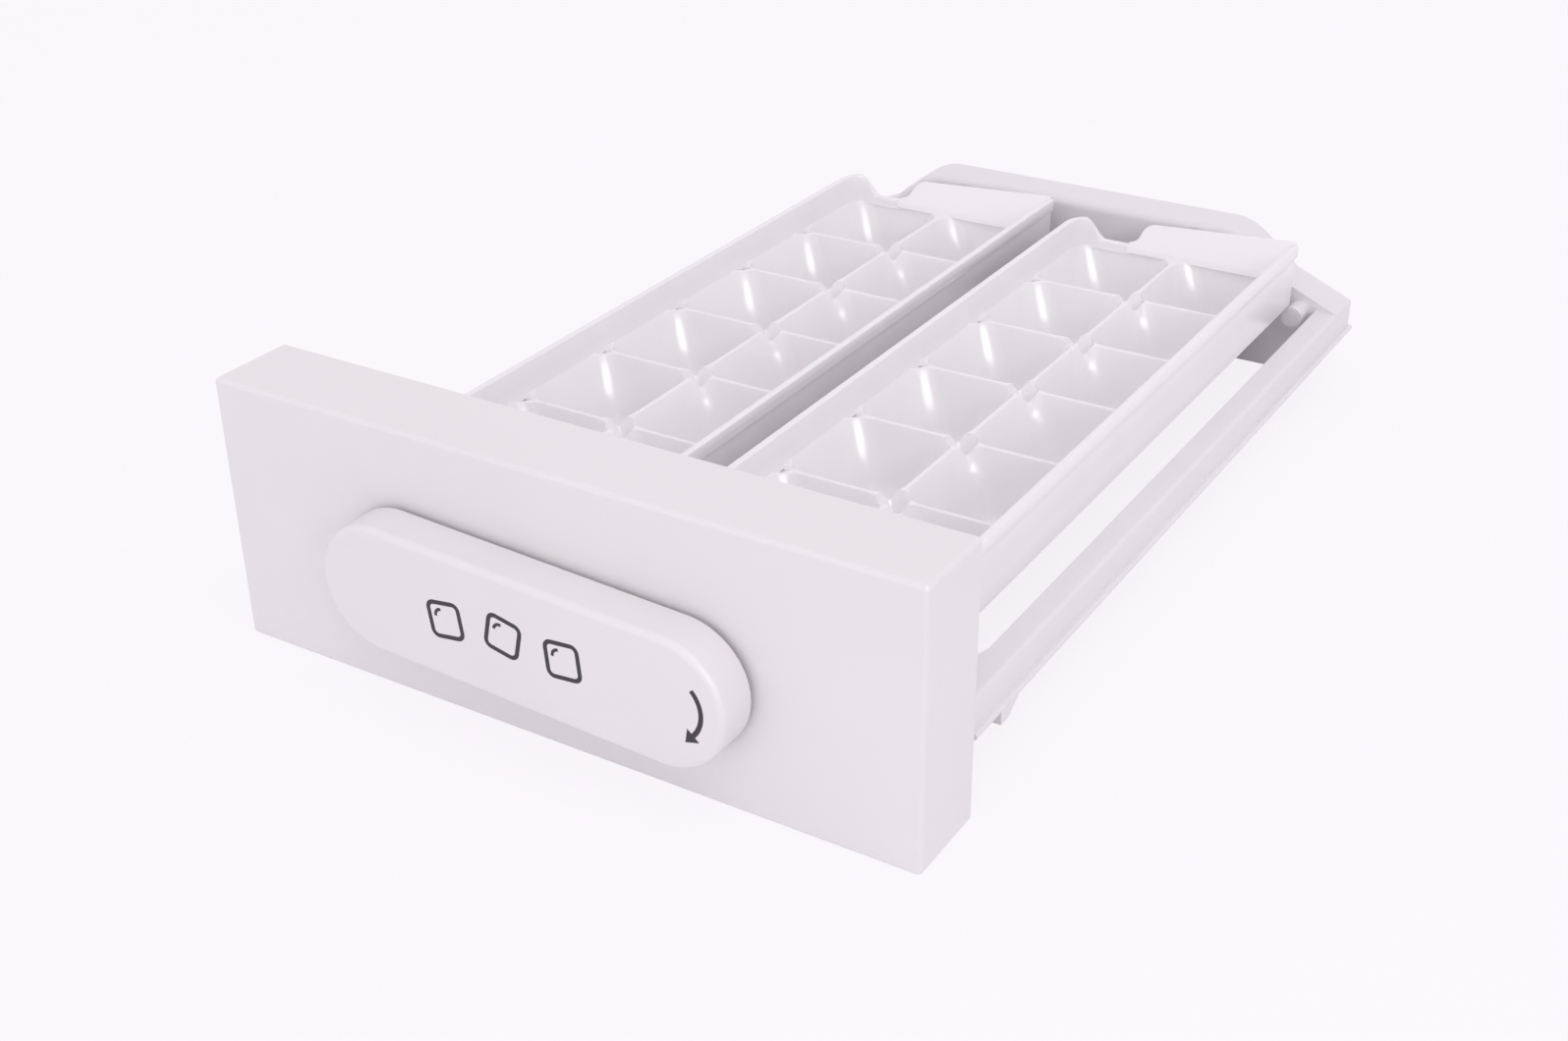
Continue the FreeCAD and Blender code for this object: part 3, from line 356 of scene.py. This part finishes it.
def cell_tile():
    """One cell with half of every crest round it, centred on the origin at deck height."""
    side = wall_profile(side_draft)
    end = wall_profile(end_draft)
    half_crest = crest / 2.0
    outer = cell_ring(cell_half_x + half_crest, cell_half_y + half_crest, cell_corner + half_crest, 1.0)
    inner = cell_ring(cell_half_x - side[0].x, cell_half_y - end[0].x, cell_corner - side[0].x)
    rings = []
    for i in range(flat_steps):
        share = i / flat_steps
        rings.append([
            tuple(Vector((*a[:2], 0.0)).lerp(Vector((*b[:2], 0.0)), share)) for a, b in zip(outer, inner)
        ])
    for across, along in zip(side, end):
        # The corner tightens by as much as the roundings draw the walls in past their straight slope
        side_drawn_in = across.x - side_draft * across.y / cell_depth
        drawn_in = (side_drawn_in + along.x - end_draft * along.y / cell_depth) / 2.0
        radius = min(cell_corner + corner_growth * across.y, widest_corner) - drawn_in
        rings.append([
            (x, y, -(across.y * math.cos(angle) ** 2 + along.y * math.sin(angle) ** 2))
            for x, y, angle in cell_ring(cell_half_x - across.x, cell_half_y - along.x, radius)
        ])
    count = len(rings[0])
    points = [point for ring in rings for point in ring] + [(0.0, 0.0, -cell_depth)]
    faces = []
    for level in range(len(rings) - 1):
        a, b = level * count, (level + 1) * count
        faces += [(a + i, a + (i + 1) % count, b + (i + 1) % count, b + i) for i in range(count)]
    last = (len(rings) - 1) * count
    faces += [(last + i, last + (i + 1) % count, len(points) - 1) for i in range(count)]
    mesh = bpy.data.meshes.new("cell")
    mesh.from_pydata(points, [], faces)
    return mesh


def repeat_tree():
    """Geometry Nodes that lay a piece out in columns and rows and join the edges that meet."""
    tree = bpy.data.node_groups.new("columns_and_rows", "GeometryNodeTree")
    tree.interface.new_socket("Geometry", in_out="INPUT", socket_type="NodeSocketGeometry")
    for name, kind in (
        ("Columns", "NodeSocketInt"), ("Rows", "NodeSocketInt"), ("Column Pitch", "NodeSocketFloat"),
        ("Row Pitch", "NodeSocketFloat"), ("Material", "NodeSocketMaterial"),
    ):
        tree.interface.new_socket(name, in_out="INPUT", socket_type=kind)
    tree.interface.new_socket("Geometry", in_out="OUTPUT", socket_type="NodeSocketGeometry")
    given = add_node(tree, "NodeGroupInput")

    def times_gaps(count, pitch):
        gaps = add_node(tree, "ShaderNodeMath", {"operation": "SUBTRACT"})
        tree.links.new(given.outputs[count], gaps.inputs[0])
        gaps.inputs[1].default_value = 1.0
        span = add_node(tree, "ShaderNodeMath", {"operation": "MULTIPLY"})
        tree.links.new(gaps.outputs[0], span.inputs[0])
        tree.links.new(given.outputs[pitch], span.inputs[1])
        return span.outputs[0]

    grid = add_node(
        tree, "GeometryNodeMeshGrid",
        Size_X=times_gaps("Columns", "Column Pitch"), Size_Y=times_gaps("Rows", "Row Pitch"),
        Vertices_X=given.outputs["Columns"], Vertices_Y=given.outputs["Rows"],
    )
    laid = add_node(
        tree, "GeometryNodeInstanceOnPoints",
        Points=grid.outputs["Mesh"], Instance=given.outputs["Geometry"],
    )
    real = add_node(tree, "GeometryNodeRealizeInstances", Geometry=laid.outputs[0])
    joined = add_node(tree, "GeometryNodeMergeByDistance", {"Distance": 0.02}, Geometry=real.outputs[0])
    painted = add_node(
        tree, "GeometryNodeSetMaterial", Geometry=joined.outputs[0], Material=given.outputs["Material"],
    )
    add_node(tree, "NodeGroupOutput", Geometry=painted.outputs[0])
    return tree


def finished_mesh(piece):
    """Plain mesh of a piece with its modifiers applied. The piece itself is removed."""
    seen = piece.evaluated_get(bpy.context.evaluated_depsgraph_get())
    mesh = bpy.data.meshes.new_from_object(seen)
    piece.modifiers.clear()
    bpy.data.objects.remove(piece)
    return mesh


def linked(name, mesh):
    """New object for a mesh, in the scene."""
    piece = bpy.data.objects.new(name, mesh)
    bpy.context.scene.collection.objects.link(piece)
    return piece


def soft_least(a, b, blend):
    """Smaller of two heights, with a round change from one to the other."""
    share = min(max(0.5 + 0.5 * (b - a) / blend, 0.0), 1.0)
    return b + (a - b) * share - blend * share * (1.0 - share)


# Notches where four cells meet, with a dimple in each, and shallow dips where a crest meets the rim
notch_depth = 6.2
notch_half = 4.4
notch_limit = notch_half * 1.8
notch_squareness = 3.6
notch_bowl_power = 2.4
round_change = 0.8
dimple_depth = 4.5
dimple_radius = 1.4
end_dip = 0.7
end_dip_radius = 2.0
end_dip_limit = 6.0
side_dip = 1.1
side_dip_radius = 3.0
side_dip_limit = 7.5
side_dip_floor_z = deck_z - 3.0
side_dimple_depth = 2.6
side_dimple_radius = 1.1
side_dimple_inset = 3.1


def crossing_dip(x, y, z):
    """Lower the crests round where four cells meet, and a little where a crest meets the rim."""
    row = round((y - first_cell_y + row_pitch / 2.0) / row_pitch)
    row_y = first_cell_y - row_pitch / 2.0 + row * row_pitch
    across, along = abs(x - tray_axis_x), abs(y - row_y)
    from_middle = math.hypot(across, along)
    if 0 < row < cell_rows and from_middle < notch_limit:
        reach = (across ** notch_squareness + along ** notch_squareness) ** (1.0 / notch_squareness)
        bowl = deck_z - notch_depth + notch_depth * (reach / notch_half) ** notch_bowl_power
        z = soft_least(z, bowl, round_change)
        z -= dimple_depth * math.exp(-(from_middle / dimple_radius) ** 2)
    elif row == 0 and from_middle < end_dip_limit:
        z -= end_dip * math.exp(-(from_middle / end_dip_radius) ** 2)
    from_side = math.hypot(across - (tray_half - rim_thickness), y - row_y)
    if 0 < row < cell_rows and from_side < side_dip_limit and z > side_dip_floor_z:
        z -= side_dip * math.exp(-(from_side / side_dip_radius) ** 2)
        from_dimple = math.hypot(across - (tray_half - side_dimple_inset), y - row_y)
        z -= side_dimple_depth * math.exp(-(from_dimple / side_dimple_radius) ** 2)
    return z


# Land behind the last cells, beside the overflow step at the left rear
land_ramp_run = 3.6
land_ramp_left_z, land_ramp_right_z = 39.9, 42.0
land_rear_left_z, land_rear_right_z = 42.5, 46.0
step_from_side = 22.0
step_outer = 3.6
step_inner = 2.5


def land_height(x, y):
    """Height of the land behind the last cells: a ramp, then a slope that rises to the right."""
    span = 2.0 * tray_half - rim_thickness - step_from_side
    across = min(max((x - tray_left - step_from_side) / span, 0.0), 1.0)
    ramp_z = land_ramp_left_z + (land_ramp_right_z - land_ramp_left_z) * across
    rear_z = land_rear_left_z + (land_rear_right_z - land_rear_left_z) * across
    behind = y - pool_rear
    ramp = deck_z + (ramp_z - deck_z) * behind / land_ramp_run
    slope = ramp_z + (rear_z - ramp_z) * (behind - land_ramp_run) / (tray_rear - pool_rear - land_ramp_run)
    return soft_least(ramp, slope, round_change)


ear_x = tray_left + 9.5
ear_y = pool_rear - 7.6
ear_reach = 8.4


def cells_sheet():
    """All cells of the right tray with their crests, as one open sheet, drawn in round the ear."""
    piece = linked("cells", cell_tile())
    tree = repeat_tree()
    repeat = piece.modifiers.new("cells", "NODES")
    repeat.node_group = tree
    sizes = {
        "Columns": cell_columns, "Rows": cell_rows, "Column Pitch": column_pitch, "Row Pitch": row_pitch,
        "Material": tray_plastic,
    }
    for item in tree.interface.items_tree:
        if item.in_out == "INPUT" and item.name in sizes:
            repeat[item.identifier] = sizes[item.name]
    mesh = finished_mesh(piece)
    middle_y = first_cell_y + (cell_rows - 1) * row_pitch / 2.0
    for vertex in mesh.vertices:
        x, y = vertex.co.x + tray_axis_x, vertex.co.y + middle_y
        z = crossing_dip(x, y, vertex.co.z + deck_z)
        from_ear = Vector((x - ear_x, y - ear_y))
        if from_ear.x < 0.0 and from_ear.y > 0.0 and from_ear.length > ear_reach:
            from_ear = from_ear.normalized() * ear_reach
            x, y = ear_x + from_ear.x, ear_y + from_ear.y
        vertex.co = (x, y, z)
    return mesh


land_columns = 40
land_rows = 18
land_edge_inset = 0.25
land_right = tray_axis_x + tray_half - 1.2
land_lip_run = 0.35
land_lip_z = deck_z - 0.9


def land_sheet():
    """Land behind the last cells as an open sheet. It starts with a lip just under the last crest."""
    land_run = tray_rear - land_edge_inset - pool_rear
    points = []
    for j in range(-1, land_rows + 1):
        y = pool_rear - land_lip_run if j < 0 else pool_rear + land_run * j / land_rows
        edge = tray_left + step_from_side
        into_outer = y - (tray_rear - step_outer)
        if into_outer > 0.0:
            edge += step_outer - math.sqrt(max(step_outer ** 2 - into_outer ** 2, 0.0))
        into_inner = overflow_rear + step_inner - max(y, overflow_rear)
        if into_inner > 0.0:
            edge -= step_inner - math.sqrt(max(step_inner ** 2 - into_inner ** 2, 0.0))
        for i in range(land_columns + 1):
            x = edge + land_edge_inset + (land_right - edge - land_edge_inset) * i / land_columns
            points.append((x, y, land_lip_z if j < 0 else land_height(x, y)))
    wide = land_columns + 1
    faces = []
    for j in range(land_rows + 1):
        for i in range(land_columns):
            a = j * wide + i
            faces.append((a, a + 1, a + wide + 1, a + wide))
    mesh = bpy.data.meshes.new("land")
    mesh.from_pydata(points, [], faces)
    return mesh


corner_round = 2.0
ear_round = 9.5
bend_steps = 8
tightest_bend = 0.15


def plan_loop(inset):
    """Plan of the tray at an inset from its outline, as points with equal counts at every inset."""
    x0, x1 = tray_left, tray_left + 2.0 * tray_half
    step_x = tray_left + step_from_side
    # Each corner's place, radius, steps to the next corner, bend and way to the inside
    corners = (
        (x0, tray_front, corner_round, 4, 1, 1, 1),
        (x1, tray_front, corner_round, 40, 1, -1, 1),
        (x1, tray_rear, corner_round, 30, 1, -1, -1),
        (step_x, tray_rear, step_outer, 2, 1, 1, -1),
        (step_x, overflow_rear, step_inner, 24, -1, -1, 1),
        (x0, overflow_rear, ear_round, 40, 1, 1, -1),
    )
    arcs = []
    for x, y, radius, straight, bend, way_x, way_y in corners:
        centre = Vector((x + way_x * radius, y + way_y * radius))
        reach = max(radius - bend * inset, tightest_bend)
        if reach == tightest_bend:
            centre = Vector((x + way_x * (inset + reach), y + way_y * (inset + reach)))
        outward = math.atan2(-way_y, -way_x)
        turn = bend * math.pi / 4.0
        arc = []
        for i in range(bend_steps + 1):
            angle = outward - turn + 2.0 * turn * i / bend_steps
            arc.append(centre + Vector((math.cos(angle), math.sin(angle))) * reach)
        arcs.append((arc, straight))
    loop = []
    for i, (arc, straight) in enumerate(arcs):
        loop += arc
        following = arcs[(i + 1) % len(arcs)][0][0]
        loop += [arc[-1].lerp(following, j / straight) for j in range(1, straight)]
    return loop


overflow_z = 39.4
overflow_start = 3.6
overflow_end = 11.2
overflow_front_y = pool_rear - 5.5
overflow_far_side = step_from_side + 2.0
land_wall_y = overflow_rear + 0.6
right_climb_run = 3.0


def rim_height(x, y):
    """Top of the tray's wall: level, with the overflow dip at the left rear and the land behind."""
    across = x - tray_left
    if y > land_wall_y or (across > step_from_side and y > pool_rear):
        share = min(max((across - (2.0 * tray_half - right_climb_run)) / right_climb_run, 0.0), 1.0)
        land = land_height(x, y)
        return land + (rim_z - land) * share
    if y < overflow_front_y or across > overflow_far_side:
        return rim_z
    share = min(max((across - overflow_start) / (overflow_end - overflow_start), 0.0), 1.0)
    eased = share * share * (3.0 - 2.0 * share)
    return rim_z + (overflow_z - rim_z) * eased


def band(faces, first, second, count):
    """Join two rings of points that start at the given indices, all round, with four-sided faces."""
    for i in range(count):
        j = (i + 1) % count
        faces.append((first + i, second + i, second + j, first + j))


bead_depth = 0.7
bead_bottom_z = 42.7
root_z = 36.4


def wall_shell(points, faces):
    """Beaded rim and skirt all round the tray, as one closed ring."""
    top = "top"
    # Inset, height and least distance below the rim's top, up the inside, over the bead and down the skirt
    section = [
        (3.0, root_z, 0.0), (2.78, 36.7, 0.0), (2.62, 37.9, 0.8), (2.42, 39.3, 0.6),
        (rim_thickness, 41.0, 0.52), (rim_thickness, top, 0.5), (2.05, top, 0.15), (1.7, top, 0.0),
        (0.5, top, 0.0), (0.15, top, 0.15), (0.0, top, 0.5),
        (0.0, bead_bottom_z, 0.9), (0.12, bead_bottom_z - 0.25, 1.15),
        (bead_depth, bead_bottom_z - 0.45, 1.35), (bead_depth, 26.2, 0.0),
        (0.96, 25.56, 0.0), (1.6, skirt_bottom_z, 0.0),
        (rim_thickness, skirt_bottom_z, 0.0), (rim_thickness, root_z, 0.0),
    ]
    outline = plan_loop(0.0)
    heights = [rim_height(point.x, point.y) for point in outline]
    start = len(points)
    for inset, z, below_top in section:
        for point, height in zip(plan_loop(inset), heights):
            level = height - below_top
            if z != top:
                level = min(z, level) if below_top else z
            points.append((point.x, point.y, level))
    count = len(outline)
    for ring in range(len(section)):
        band(faces, start + ring * count, start + (ring + 1) % len(section) * count, count)


turned_steps = 48


def turned(points, faces, stations, flat_radius=0.0, flat_height=0.0):
    """Solid of revolution about the tray's axis, through (y, radius) stations.

    Up to the flat's radius, its upper side is cut off at the flat's height.
    """
    start = len(points)
    for y, radius in stations:
        for i in range(turned_steps):
            angle = 2.0 * math.pi * i / turned_steps
            up = radius * math.sin(angle)
            if radius <= flat_radius:
                up = min(up, flat_height)
            points.append((tray_axis_x + radius * math.cos(angle), y, axis_z + up))
    last = start + (len(stations) - 1) * turned_steps
    for first in range(start, last, turned_steps):
        band(faces, first, first + turned_steps, turned_steps)
    faces.append(tuple(start + i for i in range(turned_steps)))
    faces.append(tuple(last + i for i in reversed(range(turned_steps))))


def block(points, faces, corners, z0, z1):
    """Upright block on a flat outline."""
    start = len(points)
    count = len(corners)
    top = start + count
    points += [(x, y, z0) for x, y in corners] + [(x, y, z1) for x, y in corners]
    faces += [(start + i, start + (i + 1) % count, top + (i + 1) % count, top + i) for i in range(count)]
    faces.append(tuple(start + i for i in reversed(range(count))))
    faces.append(tuple(top + i for i in range(count)))


# The cells and the land get their thickness as one sheet
tray_skin = 1.4
sheets = bmesh.new()
sheets.from_mesh(cells_sheet())
sheets.from_mesh(land_sheet())
bmesh.ops.recalc_face_normals(sheets, faces=sheets.faces)
open_mesh = bpy.data.meshes.new("tray_sheet")
sheets.to_mesh(open_mesh)
sheets.free()
if sum(face.normal.z for face in open_mesh.polygons) < 0.0:
    open_mesh.flip_normals()
thick = linked("tray_sheet", open_mesh)
skin = thick.modifiers.new("skin", "SOLIDIFY")
skin.thickness = tray_skin
skin.offset = -1.0
tray_mesh = finished_mesh(thick)

# Walls, front and rear journals, the rib behind the front boss, and the low tab that lands on the stop peg
root_depth = 1.6
root_y = tray_front + root_depth
boss_front_y, boss_radius, boss_bevel = 13.3, 8.6, 0.4
front_journal_radius = 6.0
gear_seat_y, gear_seat_radius, gear_flat_height = -0.5, 5.0, 3.7
front_end_y, front_end_radius, front_bevel_y = -5.3, 4.8, -5.1
rear_boss_y, rear_boss_radius, rear_boss_bevel = 285.1, 7.0, 0.3
rear_end_y, rear_journal_radius, rear_bevel = 297.1, 4.0, 0.4
extra_points, extra_faces = [], []
wall_shell(extra_points, extra_faces)
turned(extra_points, extra_faces, [
    (root_y, boss_radius), (boss_front_y + boss_bevel, boss_radius), (boss_front_y, boss_radius - boss_bevel),
    (boss_front_y, front_journal_radius), (gear_seat_y, front_journal_radius),
    (gear_seat_y, gear_seat_radius), (front_bevel_y, gear_seat_radius), (front_end_y, front_end_radius),
], flat_radius=gear_seat_radius, flat_height=gear_flat_height)
turned(extra_points, extra_faces, [
    (rear_end_y, rear_journal_radius - rear_bevel), (rear_end_y - rear_bevel, rear_journal_radius),
    (rear_boss_y, rear_journal_radius), (rear_boss_y, rear_boss_radius - rear_boss_bevel),
    (rear_boss_y - rear_boss_bevel, rear_boss_radius), (tray_rear - root_depth, rear_boss_radius),
])
rib_front_y, rib_root_half, rib_half_thickness = 19.3, 17.6, 0.75
block(extra_points, extra_faces, [
    (tray_axis_x - boss_radius, rib_front_y), (tray_axis_x + boss_radius, rib_front_y),
    (tray_axis_x + rib_root_half, root_y), (tray_axis_x - rib_root_half, root_y),
], axis_z - rib_half_thickness, axis_z + rib_half_thickness)
tab_left, tab_rear = tray_left + bead_depth, tray_rear - bead_depth
tab_front_y, tab_inner_y = 265.5, 271.0
tab_width, tab_slant_x, tab_front_width = 14.0, 8.0, 1.2
tab_bevel, tab_height = 2.0, 6.0
block(extra_points, extra_faces, [
    (tab_left + tab_slant_x, tab_inner_y), (tab_left + tab_width, tab_inner_y),
    (tab_left + tab_width, tab_rear), (tab_left + tab_bevel, tab_rear), (tab_left, tab_rear - tab_bevel),
    (tab_left, tab_front_y), (tab_left + tab_front_width, tab_front_y),
], skirt_bottom_z, skirt_bottom_z + tab_height)
extra_mesh = bpy.data.meshes.new("tray_walls")
extra_mesh.from_pydata(extra_points, [], extra_faces)

sharp_angle = math.radians(38.0)
whole = bmesh.new()
whole.from_mesh(tray_mesh)
whole.from_mesh(extra_mesh)
bmesh.ops.recalc_face_normals(whole, faces=whole.faces)
bmesh.ops.scale(whole, vec=(mm, mm, mm), verts=whole.verts)
for word, move_x in (("right", 0.0), ("left", -2.0 * tray_axis_x * mm)):
    bmesh.ops.translate(whole, vec=(move_x, 0.0, 0.0), verts=whole.verts)
    body_mesh = bpy.data.meshes.new(word + "_tray_moulding")
    whole.to_mesh(body_mesh)
    body_mesh.materials.clear()
    body_mesh.materials.append(tray_plastic)
    body_mesh.shade_smooth()
    body_mesh.set_sharp_from_angle(angle=sharp_angle)
    tray = linked(word + "_tray_moulding", body_mesh)
    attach(tray, word + "_tray")
    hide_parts(word + "_tray")
whole.free()

# Gear train
# One large gear on the lever's spindle turns two small ones on the trays' front journals.
# They are moulded in unpainted natural acetal, and each is held by a screw and a washer.

# Natural acetal is a warmer, creamier white than the other plastics.
gear_plastic = moulded_plastic(
    "natural_acetal", "#E7E4D9", roughness=0.33, ior=1.48, grain_mm=0.30, grain_height_mm=0.002, flow_mm=20.0,
)
for node_name in ("drive_gear", "left_tray_gear", "right_tray_gear"):
    dress(node_name, gear_plastic)


# Return springs, screws and washers
# The springs are coiled from drawn steel wire, and sit on the front journals of the trays.
# The screws and washers are zinc-plated steel. Four of the screws hold the cover to the frame.
marks_duller, marks_rougher = 0.8, 1.3


def plated_steel(name, hex_colour, roughness, grain_mm):
    """Steel with fine drawing or rolling marks that change its shine a little."""
    material = bpy.data.materials.new(name)
    material.use_nodes = True
    tree = material.node_tree
    tree.nodes.clear()
    place = add_node(tree, "ShaderNodeTexCoord")
    marks = add_node(
        tree, "ShaderNodeTexNoise",
        {"Scale": 1000.0 / grain_mm, "Detail": 4.0}, Vector=place.outputs["Object"],
    )
    shine_range = {
        "From Min": noise_low, "From Max": noise_high,
        "To Min": roughness * marks_duller, "To Max": roughness * marks_rougher,
    }
    shine = add_node(tree, "ShaderNodeMapRange", shine_range, Value=marks.outputs["Fac"])
    metal = add_node(
        tree, "ShaderNodeBsdfPrincipled", {"Base Color": linear(hex_colour), "Metallic": 1.0},
        Roughness=shine.outputs["Result"],
    )
    add_node(tree, "ShaderNodeOutputMaterial", Surface=metal.outputs[0])
    return material


# Drawn wire is a darker grey with tight highlights, and zinc plate a paler grey with cloudy ones
spring_steel = plated_steel("drawn_spring_wire", "#A9A9AD", roughness=0.28, grain_mm=0.25)
zinc_plate = plated_steel("zinc_plate", "#C2C4C6", roughness=0.34, grain_mm=0.6)
for node_name in ("left_return_spring", "right_return_spring"):
    dress(node_name, spring_steel)
for node_name in (
    "lever_screw", "lever_washer", "left_gear_screw", "right_gear_screw",
    "left_gear_washer", "right_gear_washer", "cover_screws",
):
    dress(node_name, zinc_plate)

# Front cover
# A plain box moulding in satin white ABS that hides the gears. Four screws hold it to the frame from
# behind. Satin ABS gives the eye one even white with soft edges, and clouds too faint to see as such.
cover_plastic = moulded_plastic(
    "satin_abs", "#EAE6E9", roughness=0.40, ior=1.54, grain_mm=0.35, grain_height_mm=0.004, flow_mm=70.0,
)
dress("front_cover", cover_plastic)

# Lever
# A long moulded bar in the same ABS with round ends and softly rounded edges, ribbed and hollow behind.
# Its spindle turns in the cover's bush, and a screw and a washer hold the drive gear to it.
dress("lever", cover_plastic)

# Lever print
# Plain marks pad-printed on the lever's face in dark grey ink: three ice cubes, and an arrow for the way to
# turn. They stand where the eye looks for them, and are a few hundredths of a millimetre thick.

# Pad-print ink is a matt near-black. The speckle of its screen is drawn coarser than the real 0.1 mm.
ink = bpy.data.materials.new("pad_print_ink")
ink.use_nodes = True
tree = ink.node_tree
tree.nodes.clear()
place = add_node(tree, "ShaderNodeTexCoord")
screen_mm = 0.5
speckle = add_node(tree, "ShaderNodeTexNoise", {"Scale": 1000.0 / screen_mm}, Vector=place.outputs["Object"])
film = add_node(tree, "ShaderNodeValToRGB", Fac=speckle.outputs["Fac"])
film.color_ramp.elements[0].color = linear("#2F2B31")
film.color_ramp.elements[1].color = linear("#3C383E")
coat = add_node(
    tree, "ShaderNodeBsdfPrincipled", {"IOR": 1.5, "Roughness": 0.5}, Base_Color=film.outputs["Color"],
)
add_node(tree, "ShaderNodeOutputMaterial", Surface=coat.outputs[0])

ink_thickness = 0.04
lever_face_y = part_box("lever")[0][1] / mm


def print_patch(drawing, outline):
    """Add one flat patch of ink, given by its corners in order round it."""
    front = [drawing.verts.new((x * mm, (lever_face_y - ink_thickness) * mm, z * mm)) for x, z in outline]
    back = [drawing.verts.new((x * mm, lever_face_y * mm, z * mm)) for x, z in outline]
    drawing.faces.new(front)
    drawing.faces.new(back[::-1])
    for i in range(len(outline)):
        j = (i + 1) % len(outline)
        drawing.faces.new((front[i], back[i], back[j], front[j]))


def print_stroke(drawing, line, width, closed=False):
    """Add a stroke of ink along a line, as one patch for each of its steps."""
    steps = len(line) if closed else len(line) - 1
    sides = []
    for i, point in enumerate(line):
        before = line[i - 1] if closed or i else point
        after = line[(i + 1) % len(line)] if closed or i < len(line) - 1 else point
        along = (Vector(after) - Vector(before)).normalized() * (width / 2.0)
        sides.append(((point[0] - along.y, point[1] + along.x), (point[0] + along.y, point[1] - along.x)))
    for i in range(steps):
        a, b = sides[i], sides[(i + 1) % len(line)]
        print_patch(drawing, [a[0], b[0], b[1], a[1]])


def arc_line(x, z, radius, start, end, steps):
    """Points along an arc from one angle to another, in degrees."""
    angles = [math.radians(start + (end - start) * i / steps) for i in range(steps + 1)]
    return [(x + radius * math.cos(a), z + radius * math.sin(a)) for a in angles]


cube_half = 4.5
cube_round = 1.7
cube_stroke = 1.15
cube_arc_steps = 6
shine_inset = 1.8
shine_start, shine_end = 185.0, 85.0
shine_stroke = cube_stroke * 0.7


def print_cube(drawing, x, z, turn):
    """Outline of an ice cube with round corners and a short mark for its shine."""
    middle = cube_half - cube_round
    outline = []
    for i, (way_x, way_z) in enumerate(((1, 1), (-1, 1), (-1, -1), (1, -1))):
        outline += arc_line(
            way_x * middle, way_z * middle, cube_round, 90.0 * i, 90.0 * (i + 1), cube_arc_steps,
        )
    shine = arc_line(
        -cube_half + shine_inset + cube_round, cube_half - shine_inset - cube_round, cube_round,
        shine_start, shine_end, cube_arc_steps,
    )
    turning = Matrix.Rotation(math.radians(turn), 2)
    for points, width, closed in ((outline, cube_stroke, True), (shine, shine_stroke, False)):
        placed = [Vector((x, z)) + turning @ Vector(point) for point in points]
        print_stroke(drawing, [tuple(point) for point in placed], width, closed)


drawing = bmesh.new()
for x, z, turn in ((-19.5, 35.6, 8.0), (-2.5, 36.6, -12.0), (14.5, 35.4, 5.0)):
    print_cube(drawing, x, z, turn)
arrow_x, arrow_z, arrow_radius = 43.3, 33.3, 8.6
arrow_stroke = 1.25
arrow_start, arrow_end = 44.0, -42.0
arrow_steps = 14
head_length, head_half = 3.2, 2.1
shaft = arc_line(arrow_x, arrow_z, arrow_radius, arrow_start, arrow_end, arrow_steps)
print_stroke(drawing, shaft, arrow_stroke)
tip = Vector(shaft[-1])
ahead = Vector((math.sin(math.radians(arrow_end)), -math.cos(math.radians(arrow_end))))
aside = Vector((-ahead.y, ahead.x)) * head_half
print_patch(drawing, [tuple(tip + aside), tuple(tip + ahead * head_length), tuple(tip - aside)])
bmesh.ops.recalc_face_normals(drawing, faces=drawing.faces)
print_mesh = bpy.data.meshes.new("lever_print")
drawing.to_mesh(print_mesh)
drawing.free()
print_mesh.materials.append(ink)
lever_print = linked("lever_print", print_mesh)
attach(lever_print, "lever")
